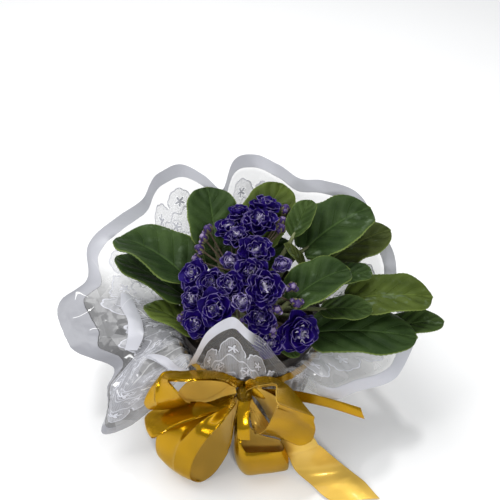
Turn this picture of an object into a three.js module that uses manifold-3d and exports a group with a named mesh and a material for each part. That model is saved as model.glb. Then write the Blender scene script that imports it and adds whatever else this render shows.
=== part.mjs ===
// A double-flowered african violet in a thin nursery pot, gathered in a lace-printed clear
// wrap and tied at the front with a satin florist bow.
// Millimetres, +Z up. The origin is the middle of the wrap's flat underside.
// The bow faces -Y.

import * as THREE from 'three';
import Module from 'manifold-3d';
import { mergeVertices } from 'three/addons/utils/BufferGeometryUtils.js';

const wasm = await Module();
wasm.setup();

// Gap that neighbouring pieces keep
const GAP = 0.3;

// Wrap: film thickness, flat underside, hugging wall and neck
const FILM = 0.5;
const WRAP_FLAT_R = 43;
const WRAP_SIDES = 72;
const WRAP_PLEATS = 16;
const WRAP_FLARE_STEPS = 6;

// Pot: outer sizes of the tapered wall and the lip
const POT_FLOOR_Z = FILM + GAP;
const POT_BASE_R = 41;
const POT_WALL_TOP_R = 52.8;
const POT_LIP_R = 57.3;
const POT_LIP_Z = 83;
const POT_TOP_Z = 92;
const POT_WALL = 1.4;
const POT_SIDES = 36;
const DRAIN_HOLES = 5;
const DRAIN_HOLE_R = 4;
const DRAIN_RING_R = 28;
const DRILL_SIDES = 12;

// Soil and the crown that stands on it
const SOIL_TOP_Z = 80;
const SOIL_LIP_DROP = 3;
const CROWN_R = 12;
const CROWN_TOP_Z = 100;
const CROWN_SHOULDER_Z = 96.5;
const CROWN_TOP_R = 9.5;
const CROWN_SIDES = 24;

// Leaves
const BLADE_THICK = 1.9;
const BLADE_EDGE_THICK = 0.7;
const PETIOLE_R = 1.75;
const ROOT_GAP = 0.7;

// Flowers and their stalks
const FLOWER_LOBES = 5;
const FLOWER_SIDES = 10;
const STALK_R = 1.25;
const PEDICEL_R = 0.75;
const TUBE_SIDES = 5;
const FLOWER_FOCUS = [0, 40, 60];
const STALK_STEPS = 5;
const PEDICEL_STEPS = 3;
const PEDICEL_SAG = 3;

// Ribbon
const RIBBON_THICK = 0.7;
const RIBBON_NARROW = 9;
const BAND_INNER_R = 58.9;
const BAND_LOW_Z = 70;
const BAND_SIDES = 48;
const KNOT = [-4, -67, 73];
const KNOT_HALF = [8, 6.8, 9];

// Colours
const LEAF_DARK = 0x2f5a2a;
const LEAF_MID = 0x41702c;
const LEAF_YELLOW = 0x6d8f33;
const LEAF_OLIVE = 0x56663a;
const FLOWER_BLUE = 0x2e1a80;
const FLOWER_PALE = 0x7a5fa8;
const STALK_BROWN = 0x6b5a3a;
const CROWN_GREEN = 0x5a6b38;
const POT_BLACK = 0x2a211c;
const SOIL_BROWN = 0x33241a;
const FILM_WHITE = 0xd0d2d8;
const GOLD = 0xc9952a;

const material = (color, roughness, metalness = 0) =>
  new THREE.MeshStandardMaterial({ color, roughness, metalness });

const point = (list) => new THREE.Vector3(...list);
const radians = THREE.MathUtils.degToRad;
const polar = (degrees, radius, z) =>
  new THREE.Vector3(radius * Math.cos(radians(degrees)), radius * Math.sin(radians(degrees)), z);

// Closed geometry from points and triangles, turned so that its faces point out
function closedGeometry(points, triangles) {
  let volume = 0;
  for (const [a, b, c] of triangles) {
    volume += points[a].dot(new THREE.Vector3().crossVectors(points[b], points[c]));
  }
  const ordered = volume > 0 ? triangles : triangles.map(([a, b, c]) => [a, c, b]);
  const geometry = new THREE.BufferGeometry();
  geometry.setAttribute(
    'position',
    new THREE.Float32BufferAttribute(points.flatMap((p) => [p.x, p.y, p.z]), 3),
  );
  geometry.setIndex(ordered.flat());
  return geometry;
}

// Solid through a row of rings with the same number of points, closed by a flat fan at each
// end. The two halves of a ring are split along mirrored diagonals, so that a thin, twisted
// solid keeps its thickness.
function loft(rings) {
  const sides = rings[0].length;
  const points = rings.flat();
  const triangles = [];
  for (let row = 0; row + 1 < rings.length; row += 1) {
    for (let i = 0; i < sides; i += 1) {
      const a = row * sides + i;
      const b = row * sides + ((i + 1) % sides);
      if (i < sides / 2) {
        triangles.push([a, b, a + sides], [b, b + sides, a + sides]);
      } else {
        triangles.push([a, b, b + sides], [a, b + sides, a + sides]);
      }
    }
  }
  const last = (rings.length - 1) * sides;
  for (let i = 1; i + 1 < sides; i += 1) {
    triangles.push([0, i + 1, i], [last, last + i, last + i + 1]);
  }
  return closedGeometry(points, triangles);
}

function toManifold(geometry) {
  const bare = geometry.clone();
  bare.deleteAttribute('normal');
  bare.deleteAttribute('uv');
  const merged = mergeVertices(bare, 1e-4);
  return new wasm.Manifold(new wasm.Mesh({
    numProp: 3,
    vertProperties: Float32Array.from(merged.attributes.position.array),
    triVerts: Uint32Array.from(merged.index.array),
  }));
}

function fromManifold(solid) {
  const mesh = solid.getMesh();
  const geometry = new THREE.BufferGeometry();
  geometry.setAttribute('position', new THREE.BufferAttribute(mesh.vertProperties, 3));
  geometry.setIndex(new THREE.BufferAttribute(mesh.triVerts, 1));
  return geometry;
}

function stripped(geometry) {
  geometry.deleteAttribute('normal');
  geometry.deleteAttribute('uv');
  return geometry;
}

// A solid of revolution about +Z from [radius, z] points that start and end on the axis
function turned(profile, sides) {
  const geometry = new THREE.LatheGeometry(profile.map(([r, z]) => new THREE.Vector2(r, z)), sides);
  geometry.rotateX(Math.PI / 2);
  const merged = mergeVertices(stripped(geometry), 1e-4);
  const position = merged.attributes.position;
  const points = [];
  for (let i = 0; i < position.count; i += 1) {
    points.push(new THREE.Vector3().fromBufferAttribute(position, i));
  }
  const index = merged.index.array;
  const triangles = [];
  for (let i = 0; i < index.length; i += 3) {
    const [a, b, c] = [index[i], index[i + 1], index[i + 2]];
    if (a !== b && b !== c && c !== a) triangles.push([a, b, c]);
  }
  return closedGeometry(points, triangles);
}

// Round bar along a smooth curve through the given points
function bar(points, radius, steps) {
  const section = new THREE.Shape();
  for (let i = 0; i < TUBE_SIDES; i += 1) {
    const turn = (2 * Math.PI * i) / TUBE_SIDES;
    const corner = [radius * Math.cos(turn), radius * Math.sin(turn)];
    if (i === 0) section.moveTo(...corner);
    else section.lineTo(...corner);
  }
  section.closePath();
  return new THREE.ExtrudeGeometry(section, {
    steps,
    bevelEnabled: false,
    extrudePath: new THREE.CatmullRomCurve3(points),
  });
}

// Pot: one wall turned from a closed profile, with drain holes through its floor
function makePot() {
  const floorTop = POT_FLOOR_Z + POT_WALL;
  const profile = [
    [0, POT_FLOOR_Z],
    [POT_BASE_R, POT_FLOOR_Z],
    [POT_WALL_TOP_R, POT_LIP_Z],
    [POT_LIP_R, POT_LIP_Z],
    [POT_LIP_R, POT_TOP_Z],
    [POT_LIP_R - POT_WALL, POT_TOP_Z],
    [POT_WALL_TOP_R - POT_WALL, POT_LIP_Z + 2 * POT_WALL],
    [POT_BASE_R - POT_WALL, floorTop],
    [0, floorTop],
  ];
  let solid = toManifold(turned(profile, POT_SIDES));
  for (let i = 0; i < DRAIN_HOLES; i += 1) {
    const drill = new THREE.CylinderGeometry(DRAIN_HOLE_R, DRAIN_HOLE_R, 4 * POT_WALL, DRILL_SIDES);
    drill.rotateX(Math.PI / 2);
    const centre = polar((360 * i) / DRAIN_HOLES, DRAIN_RING_R, POT_FLOOR_Z);
    drill.translate(centre.x, centre.y, centre.z);
    solid = solid.subtract(toManifold(drill));
  }
  return fromManifold(solid);
}

// Soil fills the pot to just under the lip and falls a little towards the wall
function makeSoil() {
  const floor = POT_FLOOR_Z + POT_WALL + GAP;
  const taper = (POT_WALL_TOP_R - POT_BASE_R) / (POT_LIP_Z - POT_FLOOR_Z);
  const innerAt = (z) => POT_BASE_R - POT_WALL + taper * (z - POT_FLOOR_Z) - 2 * GAP;
  const edge = SOIL_TOP_Z - SOIL_LIP_DROP;
  return turned([
    [0, floor],
    [innerAt(floor), floor],
    [innerAt(edge), edge],
    [innerAt(edge) * 0.8, edge + SOIL_LIP_DROP * 0.7],
    [CROWN_R * 1.6, SOIL_TOP_Z],
    [0, SOIL_TOP_Z],
  ], POT_SIDES);
}

// Crown: the short thick stem that every petiole and flower stalk grows from
function makeCrown() {
  return turned([
    [0, SOIL_TOP_Z + GAP],
    [CROWN_R * 0.9, SOIL_TOP_Z + GAP],
    [CROWN_R, SOIL_TOP_Z + 3],
    [CROWN_R, CROWN_SHOULDER_Z],
    [CROWN_TOP_R, CROWN_TOP_Z],
    [0, CROWN_TOP_Z],
  ], CROWN_SIDES);
}

// Leaves. root is [degrees round the crown, height], base and tip are the blade's ends,
// wide is the blade's full width, arch lifts its middle, tilt turns it about its midrib in
// degrees and cup lifts its two sides.
const LEAVES = [
  { name: 'leaf_left', root: [165, 90], base: [-49, 15, 114], tip: [-109, 56, 122],
    wide: 60, arch: 6, tilt: 16, cup: 10, color: LEAF_DARK },
  { name: 'leaf_left_under', root: [184, 84.5], base: [-50, 8, 98], tip: [-112, 48, 108],
    wide: 42, arch: 2, tilt: 22, cup: 3, color: LEAF_DARK },
  { name: 'leaf_front_left', root: [214, 84.5], base: [-40, -24, 93], tip: [-84, -2, 101],
    wide: 34, arch: 3, tilt: 22, cup: 3, color: LEAF_YELLOW },
  { name: 'leaf_back_left', root: [132, 90], base: [-28, 41, 126], tip: [-36, 88, 150],
    wide: 42, arch: 4, tilt: 6, cup: 5, color: LEAF_DARK },
  { name: 'leaf_back', root: [92, 90], base: [3, 50, 121], tip: [28, 95, 148],
    wide: 42, arch: 4, tilt: 10, cup: 4, color: LEAF_YELLOW },
  { name: 'leaf_back_right', root: [52, 90], base: [45, 38, 125], tip: [99, 66, 146],
    wide: 54, arch: 6, tilt: 0, cup: 5, color: LEAF_DARK },
  { name: 'leaf_back_right_small', root: [66, 95.5], base: [35, 38, 140], tip: [50, 64, 155],
    wide: 22, arch: 2, tilt: -8, cup: 3, color: LEAF_MID },
  { name: 'leaf_right_back', root: [36, 84.5], base: [66, 45, 105], tip: [118, 62, 125],
    wide: 42, arch: 4, tilt: 0, cup: 3, color: LEAF_OLIVE },
  { name: 'leaf_centre_right', root: [-32, 90], base: [31, -22, 128], tip: [75, -3, 143],
    wide: 42, arch: 5, tilt: -6, cup: 5, color: LEAF_DARK },
  { name: 'leaf_centre_edge', root: [34, 95.5], base: [44, 25, 117], tip: [27, 30, 138],
    wide: 12, arch: 1, tilt: 0, cup: 2, color: LEAF_OLIVE },
  { name: 'leaf_right_small_back', root: [17, 90], base: [66, 16, 115], tip: [96, 9, 125],
    wide: 24, arch: 2, tilt: 0, cup: 2, color: LEAF_DARK },
  { name: 'leaf_right', root: [9, 84.5], base: [78, -2, 108], tip: [143, -4, 113],
    wide: 42, arch: 4, tilt: 0, cup: 4, color: LEAF_YELLOW },
  { name: 'leaf_right_small_front', root: [-7, 95.5], base: [56, -17, 113], tip: [93, -24, 119],
    wide: 25, arch: 2, tilt: 0, cup: 2, color: LEAF_MID },
  { name: 'leaf_front_right_far', root: [-11, 90], base: [106, -19, 93], tip: [153, -14, 96],
    wide: 24, arch: 2, tilt: 0, cup: 2, color: LEAF_MID },
  { name: 'leaf_front_right', root: [-46, 86], base: [48, -28, 99], tip: [128, -34, 100],
    wide: 44, arch: 5, tilt: 4, cup: 3, color: LEAF_DARK },
  { name: 'leaf_inner_back', root: [72, 84.5], base: [12, 30, 104], tip: [26, 66, 113],
    wide: 36, arch: 2, tilt: 0, cup: 2, color: LEAF_DARK },
  { name: 'leaf_inner_left', root: [114, 84.5], base: [-10, 31, 100], tip: [-33, 64, 108],
    wide: 34, arch: 2, tilt: 0, cup: 2, color: LEAF_DARK },
  { name: 'leaf_front_small', root: [-76, 84.5], base: [17, -31, 98], tip: [37, -49, 96],
    wide: 16, arch: 1, tilt: 0, cup: 1, color: LEAF_MID },
];

const BLADE_STATIONS = [0, 0.06, 0.18, 0.36, 0.57, 0.77, 0.92, 1];
const BLADE_WIDTHS = [0.12, 0.58, 0.87, 1, 0.98, 0.85, 0.56, 0.08];
const PETIOLE_STATIONS = [0, 0.35, 0.7];
const PETIOLE_LEVEL_SHARE = 0.35;
const PETIOLE_LIFT_SHARE = 0.1;
const PETIOLE_MEETS_BLADE_SHARE = 0.3;
const LEAF_RING = 8;
const RIB_PLACES = [-1, -0.36, 0.36, 1];

function makeLeaf(spec) {
  const base = point(spec.base);
  const tip = point(spec.tip);
  const root = polar(spec.root[0], CROWN_R + ROOT_GAP, spec.root[1]);
  const along = tip.clone().sub(base).normalize();
  const up = new THREE.Vector3(0, 0, 1).applyAxisAngle(along, radians(spec.tilt));
  const across = new THREE.Vector3().crossVectors(along, up).normalize();
  const normal = new THREE.Vector3().crossVectors(across, along).normalize();
  const outward = polar(spec.root[0], 1, 0);
  const reach = base.distanceTo(root);
  const leaving = root.clone().addScaledVector(outward, reach * PETIOLE_LEVEL_SHARE);
  leaving.z += reach * PETIOLE_LIFT_SHARE;
  const arriving = base.clone().addScaledVector(along, -reach * PETIOLE_MEETS_BLADE_SHARE);
  const stem = new THREE.CubicBezierCurve3(root, leaving, arriving, base);
  const rings = [];
  for (const t of PETIOLE_STATIONS) {
    const centre = stem.getPoint(t);
    const heading = stem.getTangent(t);
    const side = new THREE.Vector3().crossVectors(heading, up).normalize();
    const over = new THREE.Vector3().crossVectors(side, heading).normalize();
    rings.push(ovalRing(centre, side, over, PETIOLE_R, PETIOLE_R));
  }
  const length = base.distanceTo(tip);
  BLADE_STATIONS.forEach((t, i) => {
    const half = (BLADE_WIDTHS[i] * spec.wide) / 2;
    const lift = spec.arch * 4 * t * (1 - t);
    const centre = base.clone().addScaledVector(along, length * t).addScaledVector(normal, lift);
    rings.push(bladeRing(centre, across, normal, half, spec.cup * BLADE_WIDTHS[i]));
  });
  return loft(rings);
}

function ovalRing(centre, side, over, halfSide, halfOver) {
  const ring = [];
  for (let i = 0; i < LEAF_RING; i += 1) {
    const turn = Math.PI - (2 * Math.PI * (i + 0.5)) / LEAF_RING;
    ring.push(centre.clone()
      .addScaledVector(side, halfSide * Math.cos(turn))
      .addScaledVector(over, halfOver * Math.sin(turn)));
  }
  return ring;
}

// Four points over the blade and four under it, thinner at its two edges
function bladeRing(centre, across, normal, half, cup) {
  const at = (s, side) => {
    const thick = BLADE_EDGE_THICK + (BLADE_THICK - BLADE_EDGE_THICK) * (1 - Math.abs(s));
    return centre.clone()
      .addScaledVector(across, half * s)
      .addScaledVector(normal, cup * s * s + (side * thick) / 2);
  };
  const over = RIB_PLACES.map((s) => at(s, 1));
  const under = RIB_PLACES.map((s) => at(s, -1));
  return [...over, ...under.reverse()];
}

// Flowers: at is the middle of the bloom and wide its diameter. Each faces away from one
// point low inside the plant.
const FLOWERS = [
  { name: 'flower_back', at: [12, 64, 147], wide: 20, stalk: 'back' },
  { name: 'flower_back_left', at: [-8, 57, 146], wide: 16, stalk: 'back' },
  { name: 'flower_left_back', at: [-16, 44, 140], wide: 19, stalk: 'back_left' },
  { name: 'flower_back_centre', at: [7, 38, 151], wide: 21, stalk: 'back' },
  { name: 'flower_edge_on', at: [-10, 26, 147], wide: 15, stalk: 'back_left' },
  { name: 'flower_centre_back', at: [4, 6, 150], wide: 20, stalk: 'centre' },
  { name: 'flower_pale_left', at: [-14, 6, 139], wide: 14, stalk: 'back_left', pale: true },
  { name: 'flower_right', at: [23, -5, 147], wide: 13, stalk: 'centre', pale: true },
  { name: 'flower_centre', at: [1, -16, 150], wide: 18, stalk: 'centre' },
  { name: 'flower_left_high', at: [-41, 0, 133], wide: 19, stalk: 'left' },
  { name: 'flower_left_inner', at: [-27, -13, 138], wide: 17, stalk: 'left' },
  { name: 'flower_spiral', at: [-14, -26, 148], wide: 15, stalk: 'front' },
  { name: 'flower_centre_front', at: [10, -34, 154], wide: 20, stalk: 'centre' },
  { name: 'flower_left_mid', at: [-41, -18, 125], wide: 16, stalk: 'left' },
  { name: 'flower_front_left', at: [-24, -37, 136], wide: 20, stalk: 'front' },
  { name: 'flower_half_open', at: [-6, -42, 148], wide: 14, stalk: 'front', pale: true },
  { name: 'flower_front_centre', at: [7, -44, 136], wide: 18, stalk: 'front' },
  { name: 'flower_left_low', at: [-39, -36, 119], wide: 16, stalk: 'left' },
  { name: 'flower_front_low', at: [14, -47, 112], wide: 19, stalk: 'front_right' },
  { name: 'flower_front_right', at: [36, -40, 114], wide: 24, stalk: 'front_right' },
];

const facing = (at) => point(at).sub(point(FLOWER_FOCUS)).normalize();

// Rows of a bloom from its green back to its crumpled middle: [share of radius, height]
const BLOOM_BACK = 4;
const BLOOM_ROWS = [[0.16, -BLOOM_BACK], [0.62, -2.2], [1, 0.8], [0.72, 3], [0.3, 3.8]];
const BLOOM_WIDEST_ROW = 2;
const BLOOM_LOBE_SHARE = 0.05;

function makeFlower(spec) {
  const radius = spec.wide / 2;
  const rings = BLOOM_ROWS.map(([share, height], row) => {
    const ring = [];
    for (let i = 0; i < FLOWER_SIDES; i += 1) {
      const turn = (2 * Math.PI * i) / FLOWER_SIDES;
      const lobed = row === BLOOM_WIDEST_ROW ? BLOOM_LOBE_SHARE : 0;
      const lobe = 1 + lobed * Math.cos(FLOWER_LOBES * turn);
      ring.push(new THREE.Vector3(
        radius * share * lobe * Math.cos(turn),
        radius * share * lobe * Math.sin(turn),
        height,
      ));
    }
    return ring;
  });
  return loft(rings);
}

const bloomTurn = (spec) =>
  new THREE.Quaternion().setFromUnitVectors(new THREE.Vector3(0, 0, 1), facing(spec.at));

// Flower stalks: each rises from its foot on the crown to a fork, then one thin pedicel
// runs to each bloom and each bud
const STALKS = [
  { name: 'back', foot: [60, 5.5], fork: [4, 30, 124],
    buds: [[29, 64, 146], [36, 57, 144], [26, 51, 144], [25, 43, 143]] },
  { name: 'back_left', foot: [120, 5.5], fork: [-15, 18, 120],
    buds: [[-37, 36, 139], [-34, 44, 141], [-40, 29, 134], [-43, 24, 127]] },
  { name: 'centre', foot: [0, 5.5], fork: [9, -5, 124],
    buds: [[31, -22, 143], [22, -26, 143], [34, -34, 138], [19, -42, 141]] },
  { name: 'left', foot: [180, 5.5], fork: [-20, -9, 115],
    buds: [[-52, -26, 113]] },
  { name: 'front', foot: [-120, 5.5], fork: [-9, -22, 119],
    buds: [[-8, -50, 133], [16, -50, 128]] },
  { name: 'front_right', foot: [-60, 5.5], fork: [15, -24, 109],
    buds: [] },
];

const BUD_R = 2.4;
const BACK_OF_BLOOM = BLOOM_BACK + 2 * GAP;
const UPRIGHT_RUN = 4;

function makeStalk(spec) {
  const fork = point(spec.fork);
  const foot = polar(spec.foot[0], spec.foot[1], CROWN_TOP_Z + GAP);
  const rise = foot.clone().setZ(foot.z + UPRIGHT_RUN);
  const knuckle = fork.clone().addScaledVector(fork.clone().sub(rise).normalize(), 1);
  let solid = toManifold(bar([foot, rise, fork, knuckle], STALK_R, STALK_STEPS));
  const branch = (end, heading) => {
    const mid = fork.clone().lerp(end, 0.55).addScaledVector(heading, -PEDICEL_SAG);
    const start = fork.clone().addScaledVector(mid.clone().sub(fork).normalize(), -0.5);
    solid = solid.add(toManifold(bar([start, mid, end], PEDICEL_R, PEDICEL_STEPS)));
  };
  for (const flower of FLOWERS.filter((f) => f.stalk === spec.name)) {
    const heading = facing(flower.at);
    branch(point(flower.at).addScaledVector(heading, -BACK_OF_BLOOM), heading);
  }
  for (const bud of spec.buds) {
    const heading = facing(bud);
    branch(point(bud), heading);
    const ball = new THREE.SphereGeometry(BUD_R, 6, 4);
    ball.translate(...bud);
    solid = solid.add(toManifold(stripped(ball)));
  }
  return fromManifold(solid);
}

// Wrap: the rim of its flared collar as [degrees, radius, height], going round from +X
const WRAP_RIM = [
  [-10, 134, 72], [8, 128, 86], [24, 129, 112], [36, 132, 126], [48, 129, 141], [58, 121, 147],
  [68, 115, 143], [78, 123, 151], [89, 130, 152], [97, 122, 153], [104, 99, 142], [111, 108, 151],
  [118, 127, 156], [127, 131, 153], [138, 119, 144], [147, 134, 132], [159, 144, 114],
  [168, 140, 99], [177, 152, 96], [184, 151, 92], [190, 146, 88], [196, 137, 84],
  [198.5, 124, 80], [200.5, 114, 75], [203, 111, 68], [205.5, 119, 58], [208, 127, 48],
  [213, 138, 30], [216, 125, 34], [219, 109, 44], [228, 76, 83], [234, 71, 106],
  [241, 67, 131], [248, 62, 144],
  [256, 60, 148.5], [264, 59.5, 146], [272, 60, 138], [280, 61, 125], [287, 62, 111],
  [294, 64, 97], [302, 72, 78], [315, 88, 62], [330, 107, 60], [341, 124, 64],
];

// Wrap profile below the flare: [radius, height] of the hugging wall, the neck and the turn
// over the pot's lip
const WRAP_WALL = [[46, 4], [51.6, 38], [56.6, 72], [57.4, 80], [62.6, 88]];
const WRAP_PLEAT_DEPTHS = [0.3, 0.6, 0.8, 0.8, 0.8];
const FLARE_PLEAT_DEPTHS = [0.8, 2.2];

// The flare's curve: how far out its two inner control points lie, as shares of the run to
// the rim, and how high, as shares of the climb. Where the rim hangs below the lip the first
// one stays up.
const FLARE_OUT = [0.45, 0.88];
const FLARE_UP = [0.08, 0.42];
const FLARE_LEAVES_UP = 4;
const FLARE_HANGING_UP = 0.1;

// Closed smooth reading of the rim table at one angle
function rimAt(degrees) {
  const count = WRAP_RIM.length;
  let i = 0;
  const turned360 = degrees < WRAP_RIM[0][0] ? degrees + 360 : degrees;
  while (i + 1 < count && WRAP_RIM[i + 1][0] <= turned360) i += 1;
  const knot = (k) => {
    const wraps = Math.floor(k / count);
    const [angle, radius, height] = WRAP_RIM[k - wraps * count];
    return [angle + 360 * wraps, radius, height];
  };
  const [p0, p1, p2, p3] = [knot(i - 1), knot(i), knot(i + 1), knot(i + 2)];
  const t = (turned360 - p1[0]) / (p2[0] - p1[0]);
  return [1, 2].map((axis) => {
    const span = p2[0] - p1[0];
    const m1 = ((p2[axis] - p0[axis]) / (p2[0] - p0[0])) * span;
    const m2 = ((p3[axis] - p1[axis]) / (p3[0] - p1[0])) * span;
    const t2 = t * t;
    const t3 = t2 * t;
    return (2 * t3 - 3 * t2 + 1) * p1[axis] + (t3 - 2 * t2 + t) * m1
      + (3 * t2 - 2 * t3) * p2[axis] + (t3 - t2) * m2;
  });
}

// The collar's run from the turn over the lip to its rim: low at first, then rising
function flarePoint(rim, share) {
  const [r0, z0] = WRAP_WALL[WRAP_WALL.length - 1];
  const [r1, z1] = rim;
  const run = r1 - r0;
  const climb = z1 - z0;
  const held = FLARE_LEAVES_UP - FLARE_HANGING_UP * Math.min(0, climb);
  const radii = [r0, r0 + FLARE_OUT[0] * run, r0 + FLARE_OUT[1] * run, r1];
  const heights = [z0, z0 + held + FLARE_UP[0] * climb, z0 + FLARE_UP[1] * climb, z1];
  const mix = (v) => {
    const s = 1 - share;
    return s ** 3 * v[0] + 3 * s * s * share * v[1] + 3 * s * share * share * v[2] + share ** 3 * v[3];
  };
  return [mix(radii), mix(heights)];
}

function wrapColumn(degrees) {
  const rim = rimAt(degrees);
  const wave = Math.cos(radians(degrees) * WRAP_PLEATS);
  const [neckDepth, rimDepth] = FLARE_PLEAT_DEPTHS;
  const column = [[WRAP_FLAT_R / 2, 0], [WRAP_FLAT_R, 0]];
  WRAP_WALL.forEach(([r, z], i) => column.push([r + WRAP_PLEAT_DEPTHS[i] * wave, z]));
  for (let step = 1; step <= WRAP_FLARE_STEPS; step += 1) {
    const share = step / WRAP_FLARE_STEPS;
    const [r, z] = flarePoint(rim, share);
    column.push([r + (neckDepth + (rimDepth - neckDepth) * share) * wave, z]);
  }
  return column.map(([r, z]) => polar(degrees, r, z));
}

// The collar as one thin closed shell: an outer skin, the same skin moved in by the film's
// thickness, and a strip that joins their rims
function makeWrap() {
  const columns = [];
  for (let i = 0; i < WRAP_SIDES; i += 1) columns.push(wrapColumn((360 * i) / WRAP_SIDES));
  const rows = columns[0].length;
  const at = (i, row) => {
    const column = columns[(i + WRAP_SIDES) % WRAP_SIDES];
    return column[Math.max(0, Math.min(rows - 1, row))];
  };
  const outer = [];
  const inner = [];
  for (let i = 0; i < WRAP_SIDES; i += 1) {
    for (let row = 0; row < rows; row += 1) {
      const round = at(i + 1, row).clone().sub(at(i - 1, row));
      const rise = at(i, row + 1).clone().sub(at(i, row - 1));
      const inward = new THREE.Vector3().crossVectors(rise, round).normalize();
      if (row < 2) inward.set(0, 0, 1);
      outer.push(at(i, row).clone());
      inner.push(at(i, row).clone().addScaledVector(inward, FILM));
    }
  }
  const points = [...outer, ...inner, new THREE.Vector3(0, 0, 0), new THREE.Vector3(0, 0, FILM)];
  const shift = outer.length;
  const [poleUnder, poleOver] = [2 * shift, 2 * shift + 1];
  const triangles = [];
  for (let i = 0; i < WRAP_SIDES; i += 1) {
    const a = i * rows;
    const b = ((i + 1) % WRAP_SIDES) * rows;
    triangles.push([poleUnder, b, a], [poleOver, shift + a, shift + b]);
    for (let row = 0; row + 1 < rows; row += 1) {
      triangles.push([a + row, b + row, a + row + 1], [b + row, b + row + 1, a + row + 1]);
      triangles.push(
        [shift + a + row, shift + a + row + 1, shift + b + row],
        [shift + b + row, shift + a + row + 1, shift + b + row + 1],
      );
    }
    const [topA, topB] = [a + rows - 1, b + rows - 1];
    triangles.push([topA, topB, shift + topA], [topB, shift + topB, shift + topA]);
  }
  return closedGeometry(points, triangles);
}

// The knot that pinches every loop and tail at the front of the band
const KNOT_ROWS = [[0.7, -1], [0.97, -0.5], [1, 0], [0.97, 0.5], [0.7, 1]];
const KNOT_SIDES = 10;

function makeKnot(grow) {
  const [halfX, halfY, halfZ] = KNOT_HALF.map((half) => half + grow);
  const rings = KNOT_ROWS.map(([share, level]) => {
    const ring = [];
    for (let i = 0; i < KNOT_SIDES; i += 1) {
      const turn = (2 * Math.PI * i) / KNOT_SIDES;
      ring.push(new THREE.Vector3(
        KNOT[0] + halfX * share * Math.cos(turn),
        KNOT[1] + halfY * share * Math.sin(turn),
        KNOT[2] + halfZ * level,
      ));
    }
    return ring;
  });
  return loft(rings);
}

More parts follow.
